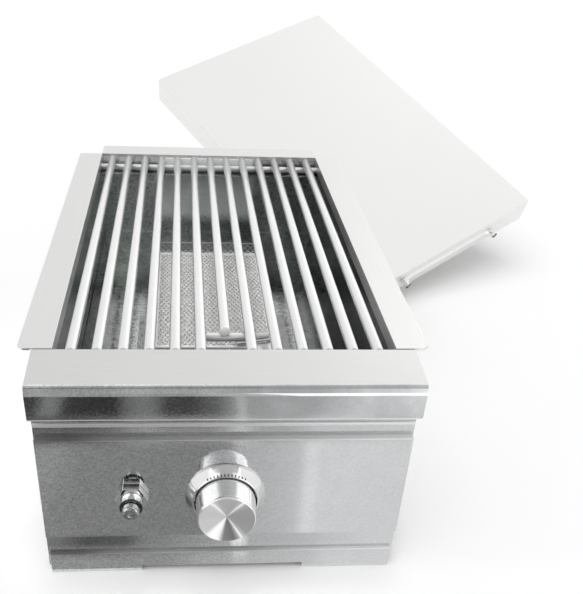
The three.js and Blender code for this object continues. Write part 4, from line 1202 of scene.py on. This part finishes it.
def make_handle():
    """A round bar that leaves the lid, bends, runs along its edge, bends and comes back."""
    bend_x = HANDLE_HALF - HANDLE_BEND
    bend_y = HANDLE_REACH + HANDLE_BEND
    bpy.ops.object.select_all(action="DESELECT")
    bpy.ops.mesh.primitive_circle_add(
        vertices=HANDLE_SIDES,
        radius=HANDLE_RADIUS,
        location=(-HANDLE_HALF, HANDLE_FOOT, HANDLE_DROP),
        rotation=(math.pi / 2, 0, 0),
    )
    handle = bpy.context.object
    handle.name = "handle_bar"
    settle(handle)
    enter(handle)
    bpy.ops.mesh.select_all(action="SELECT")
    bpy.ops.mesh.extrude_region_move(TRANSFORM_OT_translate={"value": (0, bend_y - HANDLE_FOOT, 0)})
    quarter = {"steps": BEND_STEPS, "angle": math.pi / 2, "axis": (0, 0, 1)}
    bpy.ops.mesh.spin(center=(-bend_x, bend_y, HANDLE_DROP), **quarter)
    bpy.ops.mesh.extrude_region_move(TRANSFORM_OT_translate={"value": (2 * bend_x, 0, 0)})
    bpy.ops.mesh.spin(center=(bend_x, bend_y, HANDLE_DROP), **quarter)
    bpy.ops.mesh.extrude_region_move(TRANSFORM_OT_translate={"value": (0, HANDLE_FOOT - bend_y, 0)})
    bpy.ops.mesh.select_all(action="SELECT")
    bpy.ops.mesh.remove_doubles(threshold=SEAM)
    bpy.ops.mesh.fill_holes(sides=0)
    bpy.ops.mesh.normals_make_consistent(inside=False)
    leave()
    smooth(handle, BEND_TURN)
    handle.data.transform(lid_matrix())
    dress(handle, POLISHED, "lid", "lid_handle")


def make_lid_screws():
    for side, x in (("left", -HANDLE_HALF), ("right", HANDLE_HALF)):
        seat = (x, SCREW_SEAT, HANDLE_DROP)
        screw = turned(f"{side}_lid_screw", seat, (0, 1, 0), in_metres(SCREW_OUTLINE), SCREW_SIDES)
        screw.data.transform(lid_matrix())
        dress(screw, CHROME, "lid", f"handle_screw_{side}")


# Stage

def stage_plane(name, centre, across, along, material, normal=(0, 0, 1)):
    """A plane that belongs to the studio and not to the burner."""
    bpy.ops.object.select_all(action="DESELECT")
    bpy.ops.mesh.primitive_plane_add(size=1)
    plane = bpy.context.object
    plane.name = name
    turn = Vector(normal).to_track_quat("Z", "Y").to_matrix().to_4x4()
    scale = Matrix.Diagonal((across, along, 1, 1))
    plane.data.transform(Matrix.Translation(centre) @ turn @ scale)
    plane.data.materials.append(material)
    return plane


def lay_floor():
    shade = Shade("floor_paint", metallic=0.0, roughness=0.9)
    mottle = shade.noise(shade.place(), 3, 2, 0.5)
    shade.feed("Base Color", tinted(shade, 1 + (mottle - 0.5) * 0.01, FLOOR_COLOUR))
    stage_plane("floor", (0, 0, 0), FLOOR_SIZE, FLOOR_SIZE, shade.material)


BLACKOUT = (0, 0, 0, 1)


def card(name, centre, across, along, normal, level_at):
    """A glowing card that only gloss sees, as the room round a studio table."""
    shade = Shade(name + "_paint", metallic=0.0, roughness=1.0, base_color=BLACKOUT, emission_strength=1.0)
    shade.feed("Emission Color", tone_colour(shade, level_at(shade, *shade.parts())))
    plane = stage_plane(name, centre, across, along, shade.material, normal)
    plane.visible_camera = False
    plane.visible_diffuse = False
    plane.visible_shadow = False


# What the floor before the burner shows its front, by place to the right, in bands by distance
KICK_BAND = [
    (-0.3, 0.36),
    (-0.05, 0.35),
    (-0.03, 0.42),
    (0.006, 0.50),
    (0.012, 0.62),
    (0.022, 0.62),
    (0.028, 0.57),
    (0.04, 0.60),
    (0.08, 0.68),
    (0.1, 0.80),
]
FOOT_BAND = [
    (-0.3, 0.3),
    (-0.158, 0.2),
    (-0.13, 0.09),
    (-0.09, 0.12),
    (-0.075, 0.24),
    (-0.03, 0.34),
    (0.008, 0.46),
    (0.012, 0.95),
    (0.021, 0.95),
    (0.027, 0.50),
    (0.06, 0.56),
    (0.14, 0.78),
]
PLATE_BAND = [
    (-0.3, 0.38),
    (-0.204, 0.33),
    (-0.174, 0.27),
    (-0.134, 0.25),
    (-0.014, 0.25),
    (0.0, 0.52),
    (0.026, 0.54),
    (0.060, 0.62),
    (0.072, 0.68),
    (0.080, 0.86),
    (0.088, 0.86),
    (0.094, 0.79),
    (0.3, 0.79),
]
GAP_BAND = [
    (-0.25, 0.14),
    (-0.192, 0.10),
    (-0.131, 0.16),
    (-0.113, 0.21),
    (-0.095, 0.32),
    (-0.077, 0.37),
    (-0.059, 0.32),
    (-0.006, 0.33),
    (0.013, 0.45),
    (0.027, 0.62),
    (0.035, 0.62),
    (0.049, 0.45),
    (0.085, 0.47),
    (0.12, 0.68),
    (0.2, 0.72),
    (0.3, 0.8),
]
NOSE_BAND = [
    (-0.25, 0.04),
    (-0.205, 0.05),
    (-0.198, 0.24),
    (-0.182, 0.24),
    (-0.174, 0.05),
    (-0.147, 0.03),
    (-0.112, 0.03),
    (-0.104, 0.15),
    (-0.085, 0.20),
    (-0.064, 0.15),
    (-0.056, 0.05),
    (-0.027, 0.05),
    (0.003, 0.12),
    (0.010, 0.20),
    (0.021, 0.27),
    (0.026, 0.38),
    (0.030, 0.56),
    (0.034, 0.56),
    (0.038, 0.39),
    (0.063, 0.42),
    (0.123, 0.52),
    (0.175, 0.65),
    (0.21, 0.78),
    (0.25, 0.84),
]
FAR_BAND = [
    (-0.3, 0.42),
    (-0.03, 0.34),
    (0.02, 0.50),
    (0.06, 0.58),
    (0.1, 0.66),
    (0.115, 1.5),
    (0.3, 1.5),
]
FLOOR_BANDS = [
    (FOOT_BAND, 0.279, 0.285, 0),
    (PLATE_BAND, 0.308, 0.313, 0.19),
    (GAP_BAND, 0.455, 0.459, 0),
    (NOSE_BAND, 0.478, 0.484, 0),
    (FAR_BAND, 0.545, 0.60, 0),
]
# What the room shows: before the burner, above it and behind it, by place to the right
ROOM_AHEAD = [
    (-2.5, 1.5),
    (-1.4, 1.5),
    (-0.9, 1.2),
    (-0.68, 0.5),
    (-0.44, 0.40),
    (0.0, 0.46),
    (0.3, 0.56),
    (0.5, 0.9),
    (0.7, 1.15),
    (1.0, 1.3),
    (1.3, 1.5),
    (2.5, 1.5),
]
ROOM_ABOVE = [
    (-2.5, 1.5),
    (-1.4, 1.5),
    (-0.9, 1.3),
    (-0.68, 0.6),
    (-0.44, 0.40),
    (0.0, 0.40),
    (0.3, 0.46),
    (0.9, 0.60),
    (1.1, 1.5),
    (2.5, 1.5),
]
ROOM_BEHIND = [(-3.0, 0.82), (-1.0, 0.92), (0.2, 1.0), (0.7, 1.08), (1.2, 1.22), (1.6, 1.45), (3.0, 1.5)]


def floor_level(shade, across, ahead, up):
    return banded(shade, across, ahead * -1, 0.5, KICK_BAND, FLOOR_BANDS)


def ahead_level(shade, across, ahead, up):
    return banded(shade, across, up * 0.2, 2.5, ROOM_AHEAD, [(ROOM_ABOVE, 0.10, 0.13, 0)])


def ceiling_level(shade, across, ahead, up):
    return shade.spread(across, -2, 2, (-2, 0.5), (2, 0.5))


def behind_level(shade, across, ahead, up):
    return shade.spread(across, -4.5, 4.5, *ROOM_BEHIND)


def dusk_level(shade, across, ahead, up):
    return up * 0.015


def hang_cards():
    """The cards, each with its middle, its width, its depth, the way it faces and its levels."""
    card("card_floor", (0, -0.932, 0.002), 1.3, 1.336, (0, 0, 1), floor_level)
    card("card_ahead", (0, -1.6, 2.0), 5.0, 4.0, (0, 1, 0), ahead_level)
    card("card_ceiling", (0, -1.0, 3.0), 4.0, 1.2, (0, 0, -1), ceiling_level)
    card("card_behind", (0, 3.0, 2.1), 9.0, 4.2, (0, -1, 0), behind_level)
    card("card_person", (-0.12, -1.0, 0.7), 0.46, 0.12, (0, 1, 0), dusk_level)


def light_world():
    """A white world: full to the camera, gloss and glass, and dimmer as the light on the burner."""
    world = bpy.data.worlds.new("studio")
    bpy.context.scene.world = world
    world.use_nodes = True
    tree = world.node_tree
    background = tree.nodes["Background"]
    background.inputs["Color"].default_value = (1, 1, 1, 1)
    path = tree.nodes.new("ShaderNodeLightPath")
    seen = path.outputs["Is Camera Ray"]
    for ray in ("Is Glossy Ray", "Is Transmission Ray"):
        either = tree.nodes.new("ShaderNodeMath")
        either.operation = "MAXIMUM"
        tree.links.new(seen, either.inputs[0])
        tree.links.new(path.outputs[ray], either.inputs[1])
        seen = either.outputs[0]
    level = tree.nodes.new("ShaderNodeMapRange")
    level.inputs["To Min"].default_value = WORLD_LIGHT
    level.inputs["To Max"].default_value = 1
    tree.links.new(seen, level.inputs["Value"])
    tree.links.new(level.outputs["Result"], background.inputs["Strength"])


def hang_light(data, strength, matrix):
    data.energy = strength
    light = bpy.data.objects.new(data.name, data)
    light.matrix_world = matrix
    light.visible_glossy = False
    bpy.context.collection.objects.link(light)


def hang_lights():
    sun = bpy.data.lights.new("sun", "SUN")
    sun.angle = SUN_WIDTH
    hang_light(sun, SUN_STRENGTH, Vector(SUN_FROM).to_track_quat("Z", "Y").to_matrix().to_4x4())
    lamp = bpy.data.lights.new("burner_lamp", "SPOT")
    lamp.shadow_soft_size = BURNER_LAMP_SIZE
    lamp.spot_size = BURNER_LAMP_CONE
    lamp.spot_blend = BURNER_LAMP_EDGE
    hang_light(lamp, BURNER_LAMP_STRENGTH, Matrix.Translation(BURNER_LAMP_PLACE))


bpy.context.scene.view_settings.view_transform = "Standard"
place_camera()
light_world()
hang_lights()
lay_floor()
hang_cards()
finish_cad_nodes()
make_front()
make_sheets()
make_grate()
make_screen()
panel_face = corners("control_panel")[0].y
make_knob(panel_face)
make_igniter(panel_face)
make_handle()
make_lid_screws()
make_spring()
